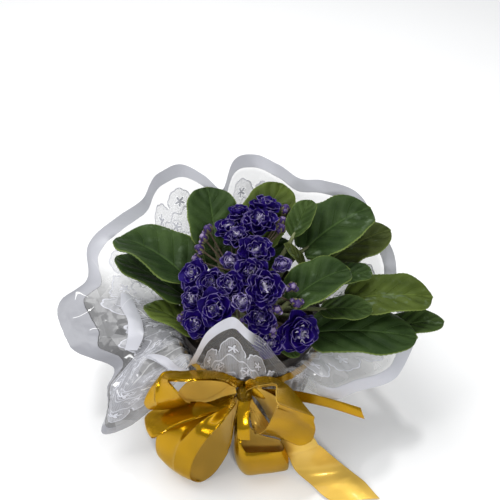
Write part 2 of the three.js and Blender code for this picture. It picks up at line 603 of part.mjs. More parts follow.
// Ribbon pieces. Each row of edges holds the places of the ribbon's two edges. The rows start
// and end inside the knot, which is cut away from them.
const RIBBONS = [
  {
    name: 'bow_loop_upper_left',
    edges: [
      [[-10, -61, 85], [-10, -66, 80]],
      [[-19, -60, 90], [-18, -70, 94]],
      [[-33, -60, 93], [-31, -77, 106]],
      [[-51, -60, 92], [-47, -80, 109]],
      [[-64, -63, 94], [-58, -80, 108]],
      [[-71, -69, 89], [-54, -84, 104]],
      [[-77, -74, 80], [-50, -84, 95]],
      [[-79, -74, 70], [-47, -80, 82]],
      [[-75, -73, 62], [-45, -72, 68]],
      [[-63, -65, 59], [-40, -68, 63]],
      [[-48, -54, 71], [-30, -70, 68]],
      [[-30, -54, 80], [-20, -71, 75]],
      [[-13, -59, 84], [-10, -68, 76]],
    ],
  },
  {
    name: 'bow_loop_lower_left',
    edges: [
      [[-13, -69, 73], [-11, -74, 72]],
      [[-32, -70, 64], [-20, -88, 70]],
      [[-53, -77, 58], [-30, -96, 62]],
      [[-68, -79, 49], [-38, -98, 47]],
      [[-73, -84, 35], [-44, -101, 31]],
      [[-73, -86, 21], [-46, -103, 15]],
      [[-70, -84, 10], [-44, -101, 5]],
      [[-63, -82, 4], [-39, -100, 2]],
      [[-52, -76, 6], [-30, -95, 4]],
      [[-41, -70, 17], [-21, -88, 14]],
      [[-29, -66, 35], [-15, -85, 32]],
      [[-17, -65, 58], [-11, -78, 55]],
      [[-9, -66, 70], [-7, -70, 70]],
    ],
  },
  {
    name: 'bow_loop_lower_centre',
    edges: [
      [[-9, -65, 70], [-5, -65, 70]],
      [[-11, -71, 56], [-5, -74, 62]],
      [[-12, -78, 38], [-8, -81, 54]],
      [[-12, -83, 20], [-10, -89, 48]],
      [[-9, -90, 7], [-8, -96, 42]],
      [[-3, -94, 2.5], [-4, -98, 38]],
      [[10, -93, 2], [9, -96, 36]],
      [[22, -91, 2], [21, -93, 34]],
      [[30, -89, 3], [26, -89, 32]],
      [[29, -84, 3], [24, -82, 33]],
      [[20, -85, 3], [16, -81, 36]],
      [[8, -85, 4], [6, -82, 43]],
      [[-3, -86, 9], [-1, -80, 52]],
      [[-9, -81, 24], [-2, -73, 60]],
      [[-8, -73, 48], [-2, -70, 66]],
      [[-7, -66, 65], [-3, -67, 70]],
    ],
  },
  {
    name: 'bow_loop_right',
    edges: [
      [[-3, -64, 85], [-2, -68, 79]],
      [[5, -64, 90], [6, -76, 94]],
      [[16, -65, 92], [18, -82, 104]],
      [[28, -72, 91], [18, -87, 107]],
      [[38, -82, 84], [18, -93, 105]],
      [[45, -88, 74], [18, -96, 102]],
      [[48, -91, 66], [18, -95, 95]],
      [[48, -91, 56], [16, -92, 80]],
      [[46, -91, 46], [11, -91, 62]],
      [[37, -90, 39], [5, -86, 50]],
      [[22, -82, 43], [1, -76, 48]],
      [[9, -73, 56], [-2, -68, 60]],
      [[0, -67, 69], [-5, -64, 70]],
    ],
  },
  {
    name: 'bow_tail_long',
    edges: [
      [[-1, -61, 68], [3, -62, 77]],
      [[8, -61, 52], [15, -68, 76]],
      [[17, -69, 37], [31, -78, 70]],
      [[24, -77, 27], [43, -88, 58]],
      [[30, -85, 17], [55, -91, 40]],
      [[36, -92, 6], [68, -88, 16]],
      [[48, -102, 2], [81, -92, 4]],
      [[58, -112, 1.5], [91, -100, 1.8]],
      [[71, -120, 1.3], [97, -110, 1.3]],
    ],
  },
  {
    name: 'bow_tail_left',
    edges: [
      [[-11, -62, 76], [-11, -66, 70]],
      [[-22, -60, 64], [-21, -78, 70]],
      [[-39, -61, 60], [-37, -84, 70]],
      [[-56, -63, 57], [-52, -87, 66]],
      [[-70, -66, 53], [-63, -90, 61]],
      [[-78, -67, 50], [-69, -91, 56]],
      [[-82, -71, 46], [-74, -90, 50]],
      [[-78, -76, 41], [-72, -86, 43]],
    ],
  },
  {
    name: 'tie_tail_centre',
    edges: [
      [[-8.5, -71, 70], [0.5, -71, 70]],
      [[-9.5, -78, 66], [-0.5, -78, 66]],
      [[-9.5, -87, 58], [-0.5, -87, 58]],
      [[-9, -90, 48], [0, -90, 48]],
    ],
  },
  {
    name: 'tie_tail_right',
    edges: [
      [[0, -63.9, 67.5], [0, -63.1, 76.5]],
      [[10, -66.4, 66.7], [10, -63.6, 75.3]],
      [[34, -68.4, 66.7], [34, -65.6, 75.3]],
      [[60, -71.4, 61.7], [60, -68.6, 70.3]],
      [[86, -74.4, 52.7], [86, -71.6, 61.3]],
    ],
  },
];

const RIBBON_STEPS = 17;
const RIBBON_CORNERS = [[0, -1], [1, -1], [1, 1], [0, 1]];

function ribbonSolid(spec, grow) {
  const [left, right] = [0, 1].map((k) => (
    new THREE.CatmullRomCurve3(spec.edges.map((row) => point(row[k])))
  ));
  const rings = [];
  for (let step = 0; step <= RIBBON_STEPS; step += 1) {
    const t = step / RIBBON_STEPS;
    const [l, r] = [left.getPoint(t), right.getPoint(t)];
    const heading = left.getTangent(t).add(right.getTangent(t));
    const across = r.clone().sub(l);
    const normal = new THREE.Vector3().crossVectors(heading, across).normalize();
    const outwards = across.clone().normalize().multiplyScalar(grow);
    rings.push(RIBBON_CORNERS.map(([a, n]) => l.clone()
      .addScaledVector(across, a)
      .addScaledVector(outwards, 2 * a - 1)
      .addScaledVector(normal, n * (RIBBON_THICK / 2 + grow))));
  }
  return toManifold(loft(rings));
}

// A ribbon gives way to the knot and to the ribbons before it, and keeps its largest part
function makeRibbon(spec, before) {
  let solid = ribbonSolid(spec, 0).subtract(toManifold(makeKnot(GAP)));
  for (const other of before) solid = solid.subtract(ribbonSolid(other, GAP));
  const parts = solid.decompose().sort((a, b) => b.volume() - a.volume());
  return fromManifold(parts[0]);
}

// The narrow strip that gathers the wrap round the pot's neck
function makeTieBand() {
  const inner = BAND_INNER_R;
  const outer = inner + RIBBON_THICK;
  const [low, high] = [BAND_LOW_Z, BAND_LOW_Z + RIBBON_NARROW];
  const profile = [[inner, low], [outer, low], [outer, high], [inner, high], [inner, low]];
  return turned(profile, BAND_SIDES);
}

const plant = new THREE.Group();

function add(name, geometry, look) {
  const mesh = new THREE.Mesh(geometry, look);
  mesh.name = name;
  plant.add(mesh);
  return mesh;
}

add('nursery_pot', makePot(), material(POT_BLACK, 0.6));
add('potting_soil', makeSoil(), material(SOIL_BROWN, 0.95));
add('crown', makeCrown(), material(CROWN_GREEN, 0.7));
for (const leaf of LEAVES) add(leaf.name, makeLeaf(leaf), material(leaf.color, 0.65));
for (const stalk of STALKS) {
  add(`flower_stalk_${stalk.name}`, makeStalk(stalk), material(STALK_BROWN, 0.7));
}
for (const flower of FLOWERS) {
  const color = flower.pale ? FLOWER_PALE : FLOWER_BLUE;
  const bloom = add(flower.name, makeFlower(flower), material(color, 0.6));
  bloom.position.set(...flower.at);
  bloom.quaternion.copy(bloomTurn(flower));
}
add('lace_wrap', makeWrap(), material(FILM_WHITE, 0.25));
add('tie_band', makeTieBand(), material(GOLD, 0.3, 0.2));
add('bow_knot', makeKnot(0), material(GOLD, 0.3, 0.2));
RIBBONS.forEach((ribbon, i) => {
  add(ribbon.name, makeRibbon(ribbon, RIBBONS.slice(0, i)), material(GOLD, 0.3, 0.2));
});

export default plant;
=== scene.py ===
"""A potted african violet in a lace-printed clear wrap, tied with a satin ribbon bow."""

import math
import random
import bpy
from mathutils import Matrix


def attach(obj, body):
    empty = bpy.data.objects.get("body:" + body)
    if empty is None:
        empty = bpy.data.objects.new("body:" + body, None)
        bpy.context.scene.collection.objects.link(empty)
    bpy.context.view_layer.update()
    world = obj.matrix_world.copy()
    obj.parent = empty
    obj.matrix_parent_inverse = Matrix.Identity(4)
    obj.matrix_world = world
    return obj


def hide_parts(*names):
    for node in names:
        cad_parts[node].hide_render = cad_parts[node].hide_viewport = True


bl_info = {
    "name": "Potted African Violet",
    "version": (1, 0, 0),
    "blender": (4, 5, 0),
    "location": "View3D > Sidebar > Violet",
    "description": "Builds a wrapped, potted african violet over its packed frame",
    "category": "Add Mesh",
}

from collections import namedtuple

import bpy
import numpy as np
from mathutils import Matrix, Vector, noise

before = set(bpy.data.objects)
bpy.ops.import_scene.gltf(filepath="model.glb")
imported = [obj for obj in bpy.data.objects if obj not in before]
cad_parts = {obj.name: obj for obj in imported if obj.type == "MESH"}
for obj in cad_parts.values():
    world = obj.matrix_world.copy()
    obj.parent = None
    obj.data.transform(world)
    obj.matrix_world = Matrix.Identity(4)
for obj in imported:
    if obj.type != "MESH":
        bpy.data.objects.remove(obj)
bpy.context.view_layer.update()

MM = 0.001
UP = np.array([0.0, 0.0, 1.0])
# Seeds of the random draws, so that each run gives the same plant
SEEDS = {"crumbs": 11, "leaves": 5, "blooms": 23, "buds": 31, "crumples": 4}

# Leaves: where the stalk leaves the crown as (degrees, height), the blade's two ends, its full
# width, how far its middle arches up, its turn about the midrib in degrees, how far its sides
# cup up, and its green. All lengths in these tables are in millimetres.
Leaf = namedtuple("Leaf", "root base tip wide arch tilt cup green")
LEAVES = {
    "leaf_left": Leaf((165, 90), (-49, 15, 114), (-109, 56, 122), 60, 6, 16, 10, "dark"),
    "leaf_left_under": Leaf((184, 84.5), (-50, 8, 98), (-112, 48, 108), 42, 2, 22, 3, "dark"),
    "leaf_front_left": Leaf((214, 84.5), (-40, -24, 93), (-84, -2, 101), 34, 3, 22, 3, "yellow"),
    "leaf_back_left": Leaf((132, 90), (-28, 41, 126), (-36, 88, 150), 42, 4, 6, 5, "dark"),
    "leaf_back": Leaf((92, 90), (3, 50, 121), (28, 95, 148), 42, 4, 10, 4, "yellow"),
    "leaf_back_right": Leaf((52, 90), (45, 38, 125), (99, 66, 146), 54, 6, 0, 5, "dark"),
    "leaf_back_right_small": Leaf((66, 95.5), (35, 38, 140), (50, 64, 155), 22, 2, -8, 3, "mid"),
    "leaf_right_back": Leaf((36, 84.5), (66, 45, 105), (118, 62, 125), 42, 4, 0, 3, "olive"),
    "leaf_centre_right": Leaf((-32, 90), (31, -22, 128), (75, -3, 143), 42, 5, -6, 5, "dark"),
    "leaf_centre_edge": Leaf((34, 95.5), (44, 25, 117), (27, 30, 138), 12, 1, 0, 2, "olive"),
    "leaf_right_small_back": Leaf((17, 90), (66, 16, 115), (96, 9, 125), 24, 2, 0, 2, "dark"),
    "leaf_right": Leaf((9, 84.5), (78, -2, 108), (143, -4, 113), 42, 4, 0, 4, "yellow"),
    "leaf_right_small_front": Leaf((-7, 95.5), (56, -17, 113), (93, -24, 119), 25, 2, 0, 2, "mid"),
    "leaf_front_right_far": Leaf((-11, 90), (106, -19, 93), (153, -14, 96), 24, 2, 0, 2, "mid"),
    "leaf_front_right": Leaf((-46, 86), (48, -28, 99), (128, -34, 100), 44, 5, 4, 3, "dark"),
    "leaf_inner_back": Leaf((72, 84.5), (12, 30, 104), (26, 66, 113), 36, 2, 0, 2, "dark"),
    "leaf_inner_left": Leaf((114, 84.5), (-10, 31, 100), (-33, 64, 108), 34, 2, 0, 2, "dark"),
    "leaf_front_small": Leaf((-76, 84.5), (17, -31, 98), (37, -49, 96), 16, 1, 0, 1, "mid"),
}
CROWN_R = 12
CROWN_TOP_Z = 100
ROOT_GAP = 0.7
# Widths of the two kinds of blade at stations from base to tip, as shares of the full width
BLADE_STATIONS = [0, 0.06, 0.18, 0.36, 0.57, 0.77, 0.92, 1]
OVAL_WIDTHS = [0.16, 0.58, 0.86, 1, 0.99, 0.93, 0.86, 0.82]
HEART_WIDTHS = [0.36, 0.78, 0.95, 1, 0.99, 0.94, 0.88, 0.84]
# From this share of its length on a blade rounds off, to this share of its width at the tip
TIP_FROM = 0.6
TIP_BLUNT = 0.07
# Pairs of side veins, and how far a vein sweeps towards the tip on its way to the margin
VEIN_PAIRS = 4.6
VEIN_SWEEP = 1.7

# Flowers: the middle of each bloom, its diameter and its stage. All face away from one point.
Flower = namedtuple("Flower", "at wide kind")
FLOWERS = {
    "flower_back": Flower((12, 64, 147), 20, "open"),
    "flower_back_left": Flower((-8, 57, 146), 16, "open"),
    "flower_left_back": Flower((-16, 44, 140), 19, "open"),
    "flower_back_centre": Flower((7, 38, 151), 21, "frilled"),
    "flower_edge_on": Flower((-10, 26, 147), 15, "frilled"),
    "flower_centre_back": Flower((4, 6, 150), 20, "frilled"),
    "flower_pale_left": Flower((-14, 6, 139), 14, "half"),
    "flower_right": Flower((23, -5, 147), 13, "half"),
    "flower_centre": Flower((1, -16, 150), 18, "frilled"),
    "flower_left_high": Flower((-41, 0, 133), 19, "open"),
    "flower_left_inner": Flower((-27, -13, 138), 17, "frilled"),
    "flower_spiral": Flower((-14, -26, 148), 15, "frilled"),
    "flower_centre_front": Flower((10, -34, 154), 20, "frilled"),
    "flower_left_mid": Flower((-41, -18, 125), 16, "frilled"),
    "flower_front_left": Flower((-24, -37, 136), 20, "open"),
    "flower_half_open": Flower((-6, -42, 148), 14, "half"),
    "flower_front_centre": Flower((7, -44, 136), 18, "frilled"),
    "flower_left_low": Flower((-39, -36, 119), 16, "open"),
    "flower_front_low": Flower((14, -47, 112), 19, "open"),
    "flower_front_right": Flower((36, -40, 114), 24, "open"),
}
FLOWER_FOCUS = np.array([0.0, 40.0, 60.0])
# How far behind its middle a bloom meets its pedicel
BLOOM_BACK = 4

# Flower stalks: the foot as (degrees, radius) on the crown, the fork where the pedicels part,
# the flowers that they carry, and the middles of the bud clusters
Stalk = namedtuple("Stalk", "foot fork flowers buds")
STALKS = {
    "back": Stalk(
        (60, 5.5), (4, 30, 124),
        ("flower_back", "flower_back_left", "flower_back_centre"),
        ((29, 64, 146), (36, 57, 144), (26, 51, 144), (25, 43, 143)),
    ),
    "back_left": Stalk(
        (120, 5.5), (-15, 18, 120),
        ("flower_left_back", "flower_edge_on", "flower_pale_left"),
        ((-37, 36, 139), (-34, 44, 141), (-40, 29, 134), (-43, 24, 127)),
    ),
    "centre": Stalk(
        (0, 5.5), (9, -5, 124),
        ("flower_centre_back", "flower_right", "flower_centre", "flower_centre_front"),
        ((31, -22, 143), (22, -26, 143), (34, -34, 138), (19, -42, 141)),
    ),
    "left": Stalk(
        (180, 5.5), (-20, -9, 115),
        ("flower_left_high", "flower_left_inner", "flower_left_mid", "flower_left_low"),
        ((-52, -26, 113),),
    ),
    "front": Stalk(
        (-120, 5.5), (-9, -22, 119),
        ("flower_spiral", "flower_front_left", "flower_half_open", "flower_front_centre"),
        ((-8, -50, 133), (16, -50, 128)),
    ),
    "front_right": Stalk(
        (-60, 5.5), (15, -24, 109), ("flower_front_low", "flower_front_right"), ()
    ),
}

# Wrap: the rim of its flared collar as (degrees, radius, height), going round from +X
WRAP_RIM = [
    (-10, 134, 72), (8, 128, 86), (24, 129, 112), (36, 132, 126), (48, 129, 141),
    (58, 121, 147), (68, 115, 143), (78, 123, 151), (89, 130, 152), (97, 122, 153),
    (104, 99, 142), (111, 108, 151), (118, 127, 156), (127, 131, 153), (138, 119, 144),
    (147, 134, 132), (159, 144, 114), (168, 140, 99), (177, 152, 96), (184, 151, 92),
    (190, 146, 88), (196, 137, 84), (198.5, 124, 80), (200.5, 114, 75), (203, 111, 68),
    (205.5, 119, 58), (208, 127, 48), (213, 138, 30), (216, 125, 34), (219, 109, 44),
    (228, 76, 83), (234, 71, 106), (241, 67, 131), (248, 62, 144), (256, 60, 148.5),
    (264, 59.5, 146), (272, 60, 138), (280, 61, 125), (287, 62, 111), (294, 64, 97),
    (302, 72, 78), (315, 88, 62), (330, 107, 60), (341, 124, 64),
]
# Its wall as (height, radius, depth of the fine pleats), from the foot to the pot's lip
WRAP_WALL = [
    (0, 43, 0), (4, 46, 0.8), (38, 51.6, 1.8), (72, 56.6, 2.0), (80, 57.4, 1.6), (88, 62.6, 1.9),
]
# Control points of the collar's curve, as shares of its run outwards and of its climb
WRAP_FLARE_OUT = (0.45, 0.88)
WRAP_FLARE_UP = (0.08, 0.42)
# How far the collar first rises from the neck, and how much more where its rim hangs lower
WRAP_LEAVES_UP = 4
WRAP_HANGING_UP = 0.1
# Pleats round the pot
BROAD_PLEATS = 16
FINE_PLEATS = 38

# Ribbon pieces: each row holds the places of the ribbon's two edges
RIBBONS = {
    "bow_loop_upper_left": [
        ((-10, -61, 85), (-10, -66, 80)),
        ((-19, -60, 90), (-18, -70, 94)),
        ((-33, -60, 93), (-31, -77, 106)),
        ((-51, -60, 92), (-47, -80, 109)),
        ((-64, -63, 94), (-58, -80, 108)),
        ((-71, -69, 89), (-54, -84, 104)),
        ((-77, -74, 80), (-50, -84, 95)),
        ((-79, -74, 70), (-47, -80, 82)),
        ((-75, -73, 62), (-45, -72, 68)),
        ((-63, -65, 59), (-40, -68, 63)),
        ((-48, -54, 71), (-30, -70, 68)),
        ((-30, -54, 80), (-20, -71, 75)),
        ((-13, -59, 84), (-10, -68, 76)),
    ],
    "bow_loop_lower_left": [
        ((-13, -69, 73), (-11, -74, 72)),
        ((-32, -70, 64), (-20, -88, 70)),
        ((-53, -77, 58), (-30, -96, 62)),
        ((-68, -79, 49), (-38, -98, 47)),
        ((-73, -84, 35), (-44, -101, 31)),
        ((-73, -86, 21), (-46, -103, 15)),
        ((-70, -84, 10), (-44, -101, 5)),
        ((-63, -82, 4), (-39, -100, 2)),
        ((-52, -76, 6), (-30, -95, 4)),
        ((-41, -70, 17), (-21, -88, 14)),
        ((-29, -66, 35), (-15, -85, 32)),
        ((-17, -65, 58), (-11, -78, 55)),
        ((-9, -66, 70), (-7, -70, 70)),
    ],
    "bow_loop_lower_centre": [
        ((-9, -65, 70), (-5, -65, 70)),
        ((-11, -71, 56), (-5, -74, 62)),
        ((-12, -78, 38), (-8, -81, 54)),
        ((-12, -83, 20), (-10, -89, 48)),
        ((-9, -90, 7), (-8, -96, 42)),
        ((-3, -94, 2.5), (-4, -98, 38)),
        ((10, -93, 2), (9, -96, 36)),
        ((22, -91, 2), (21, -93, 34)),
        ((30, -89, 3), (26, -89, 32)),
        ((29, -84, 3), (24, -82, 33)),
        ((20, -85, 3), (16, -81, 36)),
        ((8, -85, 4), (6, -82, 43)),
        ((-3, -86, 9), (-1, -80, 52)),
        ((-9, -81, 24), (-2, -73, 60)),
        ((-8, -73, 48), (-2, -70, 66)),
        ((-7, -66, 65), (-3, -67, 70)),
    ],
    "bow_loop_right": [
        ((-3, -64, 85), (-2, -68, 79)),
        ((5, -64, 90), (6, -76, 94)),
        ((16, -65, 92), (18, -82, 104)),
        ((28, -72, 91), (18, -87, 107)),
        ((38, -82, 84), (18, -93, 105)),
        ((45, -88, 74), (18, -96, 102)),
        ((48, -91, 66), (18, -95, 95)),
        ((48, -91, 56), (16, -92, 80)),
        ((46, -91, 46), (11, -91, 62)),
        ((37, -90, 39), (5, -86, 50)),
        ((22, -82, 43), (1, -76, 48)),
        ((9, -73, 56), (-2, -68, 60)),
        ((0, -67, 69), (-5, -64, 70)),
    ],
    "bow_tail_long": [
        ((-1, -61, 68), (3, -62, 77)),
        ((8, -61, 52), (15, -68, 76)),
        ((17, -69, 37), (31, -78, 70)),
        ((24, -77, 27), (43, -88, 58)),
        ((30, -85, 17), (55, -91, 40)),
        ((36, -92, 6), (68, -88, 16)),
        ((48, -102, 2), (81, -92, 4)),
        ((58, -112, 1.5), (91, -100, 1.8)),
        ((71, -120, 1.3), (97, -110, 1.3)),
    ],
    "bow_tail_left": [
        ((-11, -62, 76), (-11, -66, 70)),
        ((-22, -60, 64), (-21, -78, 70)),
        ((-39, -61, 60), (-37, -84, 70)),
        ((-56, -63, 57), (-52, -87, 66)),
        ((-70, -66, 53), (-63, -90, 61)),
        ((-78, -67, 50), (-69, -91, 56)),
        ((-82, -71, 46), (-74, -90, 50)),
        ((-78, -76, 41), (-72, -86, 43)),
    ],
}
# Narrow ties, in the same rows
TIES = {
    "tie_tail_centre": [
        ((-8.5, -71, 70), (0.5, -71, 70)),
        ((-9.5, -78, 66), (-0.5, -78, 66)),
        ((-9.5, -87, 58), (-0.5, -87, 58)),
        ((-9, -90, 48), (0, -90, 48)),
    ],
    "tie_tail_right": [
        ((0, -63.9, 67.5), (0, -63.1, 76.5)),
        ((10, -66.4, 66.7), (10, -63.6, 75.3)),
        ((34, -68.4, 66.7), (34, -65.6, 75.3)),
        ((60, -71.4, 61.7), (60, -68.6, 70.3)),
        ((86, -74.4, 52.7), (86, -71.6, 61.3)),
    ],
}
# Creases, which run along a ribbon or across it: the direction, the place and the reach as
# shares of the ribbon, how far the crease stands out along the ribbon's normal, and the shares
# of the ribbon's length between which it swells and fades. One that starts at 0 doesn't fade.
CREASES = {
    "bow_loop_lower_left": ("along", 0.60, 0.06, 3.2, 0.04, 0.44),
    "bow_loop_right": ("across", 0.41, 0.024, -3.4, 0.0, 1.0),
    "bow_loop_lower_centre": ("along", 1.0, 0.09, -3.2, 0.1, 0.5),
    "bow_loop_upper_left": ("along", 0.35, 0.06, 2.2, 0.2, 0.62),
    "bow_tail_long": ("across", 0.47, 0.025, 2.0, 0.0, 1.0),
}
# Ribbons that show their back on the side where the others show their face
TURNED_OVER = ("bow_loop_right", "bow_tail_long")
# How far a cut end slants
CUT_SKEW = {"bow_tail_long": 5, "tie_tail_centre": 1, "tie_tail_right": -2}
# Edges of the wrap that are folded up over it, in the same rows. Their UV is scaled so that
# all of a fold shows the border band.
FOLD_WIDE = 12
# How much the folds are painted grey as shade, as gathered film is
FOLD_VEIL_AND_SHADE = 0.35
FOLD_PRINT = np.array([0.4, 0.11])
FILM_FOLDS = {
    "film_fold_left": [
        ((-106, 17, 96), (-97, 14, 95)),
        ((-104, 2, 95), (-91, 0, 95)),
        ((-97, -12, 95), (-85, -14, 94)),
        ((-95, -27, 93), (-83, -27, 93)),
        ((-97, -36, 87), (-87, -37, 88)),
    ],
    "film_fold_front": [
        ((-81, -43, 89), (-78, -46, 89)),
        ((-72, -43, 91), (-73, -48, 89)),
        ((-63, -46, 91), (-65, -53, 88)),
        ((-55, -54, 91), (-57, -58, 87)),
        ((-45, -60, 92), (-46, -64, 89)),
    ],
}
# The knot's middle, its half sizes, the gathers round it, and its colour as a share of the
# ribbon's, darker as painted shade
KNOT = np.array([-4.0, -67.0, 73.0])
KNOT_HALF = np.array([6.5, 5.6, 7.5])
KNOT_GATHERS = 9
KNOT_SHADE = 0.3

# Camera: the place it looks from in metres, and how far below level it looks
CAMERA_AT = (0, -0.376, 0.510)
CAMERA_DOWN_DEG = 43


# Number helpers

def unit(vector):
    """The vector or rows of vectors at length one."""
    vector = np.asarray(vector, float)
    return vector / np.linalg.norm(vector, axis=-1, keepdims=True)


def polar(degrees, radius, z):
    """The point at that angle and radius about the pot's axis."""
    turn = math.radians(degrees)
    return np.array([radius * math.cos(turn), radius * math.sin(turn), z])


def hermite(t):
    """The weights of a start, its slope, an end and its slope, at the share t between them."""
    return 2 * t**3 - 3 * t**2 + 1, t**3 - 2 * t**2 + t, 3 * t**2 - 2 * t**3, t**3 - t**2


def through(at, stations, values):
    """A smooth curve through values at uneven stations, read at the places at."""
    at = np.asarray(at, float)
    stations = np.asarray(stations, float)
    values = np.asarray(values, float)
    slopes = np.gradient(values, stations)
    i = np.clip(np.searchsorted(stations, at, side="right") - 1, 0, len(stations) - 2)
    span = stations[i + 1] - stations[i]
    start, leaving, end, arriving = hermite((at - stations[i]) / span)
    return (
        start * values[i] + leaving * span * slopes[i]
        + end * values[i + 1] + arriving * span * slopes[i + 1]
    )


def spline(points, at):
    """A centripetal curve through points, read at shares at of its pieces."""
    points = np.asarray(points, float)
    before = 2 * points[0] - points[1]
    after = 2 * points[-1] - points[-2]
    knots = np.vstack([before, points, after])
    place = np.clip(np.asarray(at, float) * (len(points) - 1), 0, len(points) - 1 - 1e-9)
    i = place.astype(int)
    start, leaving, end, arriving = hermite((place - i)[:, None])
    p0, p1, p2, p3 = (knots[i + k] for k in range(4))

    def gap(a, b):
        return np.maximum(np.linalg.norm(b - a, axis=1, keepdims=True) ** 0.5, 1e-4)

    d0, d1, d2 = gap(p0, p1), gap(p1, p2), gap(p2, p3)
    d0 = np.where(d0 < 1e-3, d1, d0)
    d2 = np.where(d2 < 1e-3, d1, d2)
    m1 = ((p1 - p0) / d0 - (p2 - p0) / (d0 + d1) + (p2 - p1) / d1) * d1
    m2 = ((p2 - p1) / d1 - (p3 - p1) / (d1 + d2) + (p3 - p2) / d2) * d1
    return start * p1 + leaving * m1 + end * p2 + arriving * m2


def bezier(controls, t):
    """The cubic curve with these four control points, read at the shares t."""
    s = 1 - t
    weights = (s**3, 3 * s**2 * t, 3 * s * t**2, t**3)
    return sum(weight * point for weight, point in zip(weights, controls))


def near(value, middle, reach, power=2):
    """1 at the middle, fading to nothing past reach on either side of it."""
    return np.exp(-(((value - middle) / reach) ** power))


def ramp(value, start, stop):
    """0 up to start, 1 from stop on, and a straight line between."""
    return np.clip((value - start) / (stop - start), 0, 1)


def shares(across, along):
    """-1 to 1 across a sheet as a column, and 0 to 1 along it as a row."""
    return np.linspace(-1, 1, across + 1)[:, None], np.linspace(0, 1, along + 1)[None, :]


def table(*parts):
    """The parts, spread to one shape, become the entries of one table."""
    return np.stack(np.broadcast_arrays(*parts), axis=-1)


# Mesh helpers

def clear_selection():
    """Nothing is selected and nothing is active."""
    if bpy.context.object and bpy.context.object.mode != "OBJECT":
        bpy.ops.object.mode_set(mode="OBJECT")
    bpy.ops.object.select_all(action="DESELECT")


def only(piece):
    """The piece is the one selected and active object."""
    clear_selection()
    piece.select_set(True)
    bpy.context.view_layer.objects.active = piece
    return piece


def grid_piece(name, points, mapping):
    """A grid primitive whose points and UV places follow two tables of the same shape."""
    across, along = points.shape[0] - 1, points.shape[1] - 1
    clear_selection()
    bpy.ops.mesh.primitive_grid_add(x_subdivisions=across, y_subdivisions=along, size=2)
    piece = bpy.context.object
    piece.name = name
    mesh = piece.data
    flat = np.empty(3 * len(mesh.vertices))
    mesh.vertices.foreach_get("co", flat)
    i = np.rint((flat[0::3] + 1) / 2 * across).astype(int)
    j = np.rint((flat[1::3] + 1) / 2 * along).astype(int)
    mesh.vertices.foreach_set("co", (points[i, j] * MM).ravel())
    corners = np.empty(len(mesh.loops), int)
    mesh.loops.foreach_get("vertex_index", corners)
    mesh.uv_layers[0].data.foreach_set("uv", mapping[i[corners], j[corners]].ravel())
    mesh.update()
    return piece


def weld(piece, distance=1e-6):
    """Points that lie on each other become one, and faces point outwards."""
    only(piece)
    bpy.ops.object.mode_set(mode="EDIT")
    bpy.ops.mesh.select_all(action="SELECT")
    bpy.ops.mesh.remove_doubles(threshold=distance)
    bpy.ops.mesh.normals_make_consistent(inside=False)
    bpy.ops.object.mode_set(mode="OBJECT")


def modify(piece, kind, **settings):
    """Adds a modifier with these settings and applies it."""
    only(piece)
    modifier = piece.modifiers.new(kind.title(), kind)
    for key, value in settings.items():
        setattr(modifier, key, value)
    bpy.ops.object.modifier_apply(modifier=modifier.name)


def smooth(piece, degrees=40):
    """Shades the piece smooth, with an edge where faces meet at more than degrees."""
    only(piece)
    bpy.ops.object.shade_smooth_by_angle(angle=math.radians(degrees))


def spun(name, profile, steps):
    """A solid of revolution from [radius, height] points, spun about the pot's axis."""
    clear_selection()
    mesh = bpy.data.meshes.new(name)
    points = [(r * MM, 0, z * MM) for r, z in profile]
    edges = [(k, k + 1) for k in range(len(points) - 1)]
    mesh.from_pydata(points, edges, [])
    piece = bpy.data.objects.new(name, mesh)
    bpy.context.collection.objects.link(piece)
    only(piece)
    bpy.ops.object.mode_set(mode="EDIT")
    bpy.ops.mesh.select_all(action="SELECT")
    bpy.ops.mesh.spin(steps=steps, angle=2 * math.pi, center=(0, 0, 0), axis=(0, 0, 1))
    bpy.ops.object.mode_set(mode="OBJECT")
    weld(piece)
    return piece


def tube(name, runs, fill=True, sides=3):
    """A round bar along each run, a list of points and the radius at each of them."""
    clear_selection()
    curve = bpy.data.curves.new(name, "CURVE")
    curve.dimensions = "3D"
    curve.bevel_depth = MM
    curve.bevel_resolution = sides
    curve.use_fill_caps = fill
    for points, radii in runs:
        run = curve.splines.new("POLY")
        run.points.add(len(points) - 1)
        for point, place, radius in zip(run.points, points, radii):
            point.co = (*(np.asarray(place) * MM), 1)
            point.radius = radius
    piece = bpy.data.objects.new(name, curve)
    bpy.context.collection.objects.link(piece)
    only(piece)
    bpy.ops.object.convert(target="MESH")
    return bpy.context.object


def join(name, pieces):
    """The pieces become one mesh of that name."""
    clear_selection()
    for piece in pieces:
        piece.select_set(True)
    bpy.context.view_layer.objects.active = pieces[0]
    if len(pieces) > 1:
        bpy.ops.object.join()
    joined = bpy.context.object
    joined.name = name
    joined.data.name = name
    return joined


def copied(template, matrix):
    """A copy of the template with a mesh of its own, moved by the matrix."""
    made = template.copy()
    made.data = template.data.copy()
    made.data.transform(matrix)
    bpy.context.collection.objects.link(made)
    return made


def paint(piece, *materials):
    """The piece's material slots hold these materials, in this order."""
    piece.data.materials.clear()
    for material in materials:
        piece.data.materials.append(material)


def discard(pieces):
    """Removes templates that have been copied."""
    for piece in pieces:
        bpy.data.objects.remove(piece)


def seat(piece, slot, *nodes):
    """The piece rides on the plant and stands for the nodes, which are hidden. The slot is not
    used.
    """
    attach(piece, "root")
    if nodes:
        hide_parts(*nodes)
    return piece


def turn_to(direction, place, spin=0.0):
    """The matrix that stands +Z along direction at place, after a turn about +Z."""
    aim = Vector(direction).to_track_quat("Z", "Y").to_matrix().to_4x4()
    return Matrix.Translation(Vector(place) * MM) @ aim @ Matrix.Rotation(spin, 4, "Z")


# Shader helpers

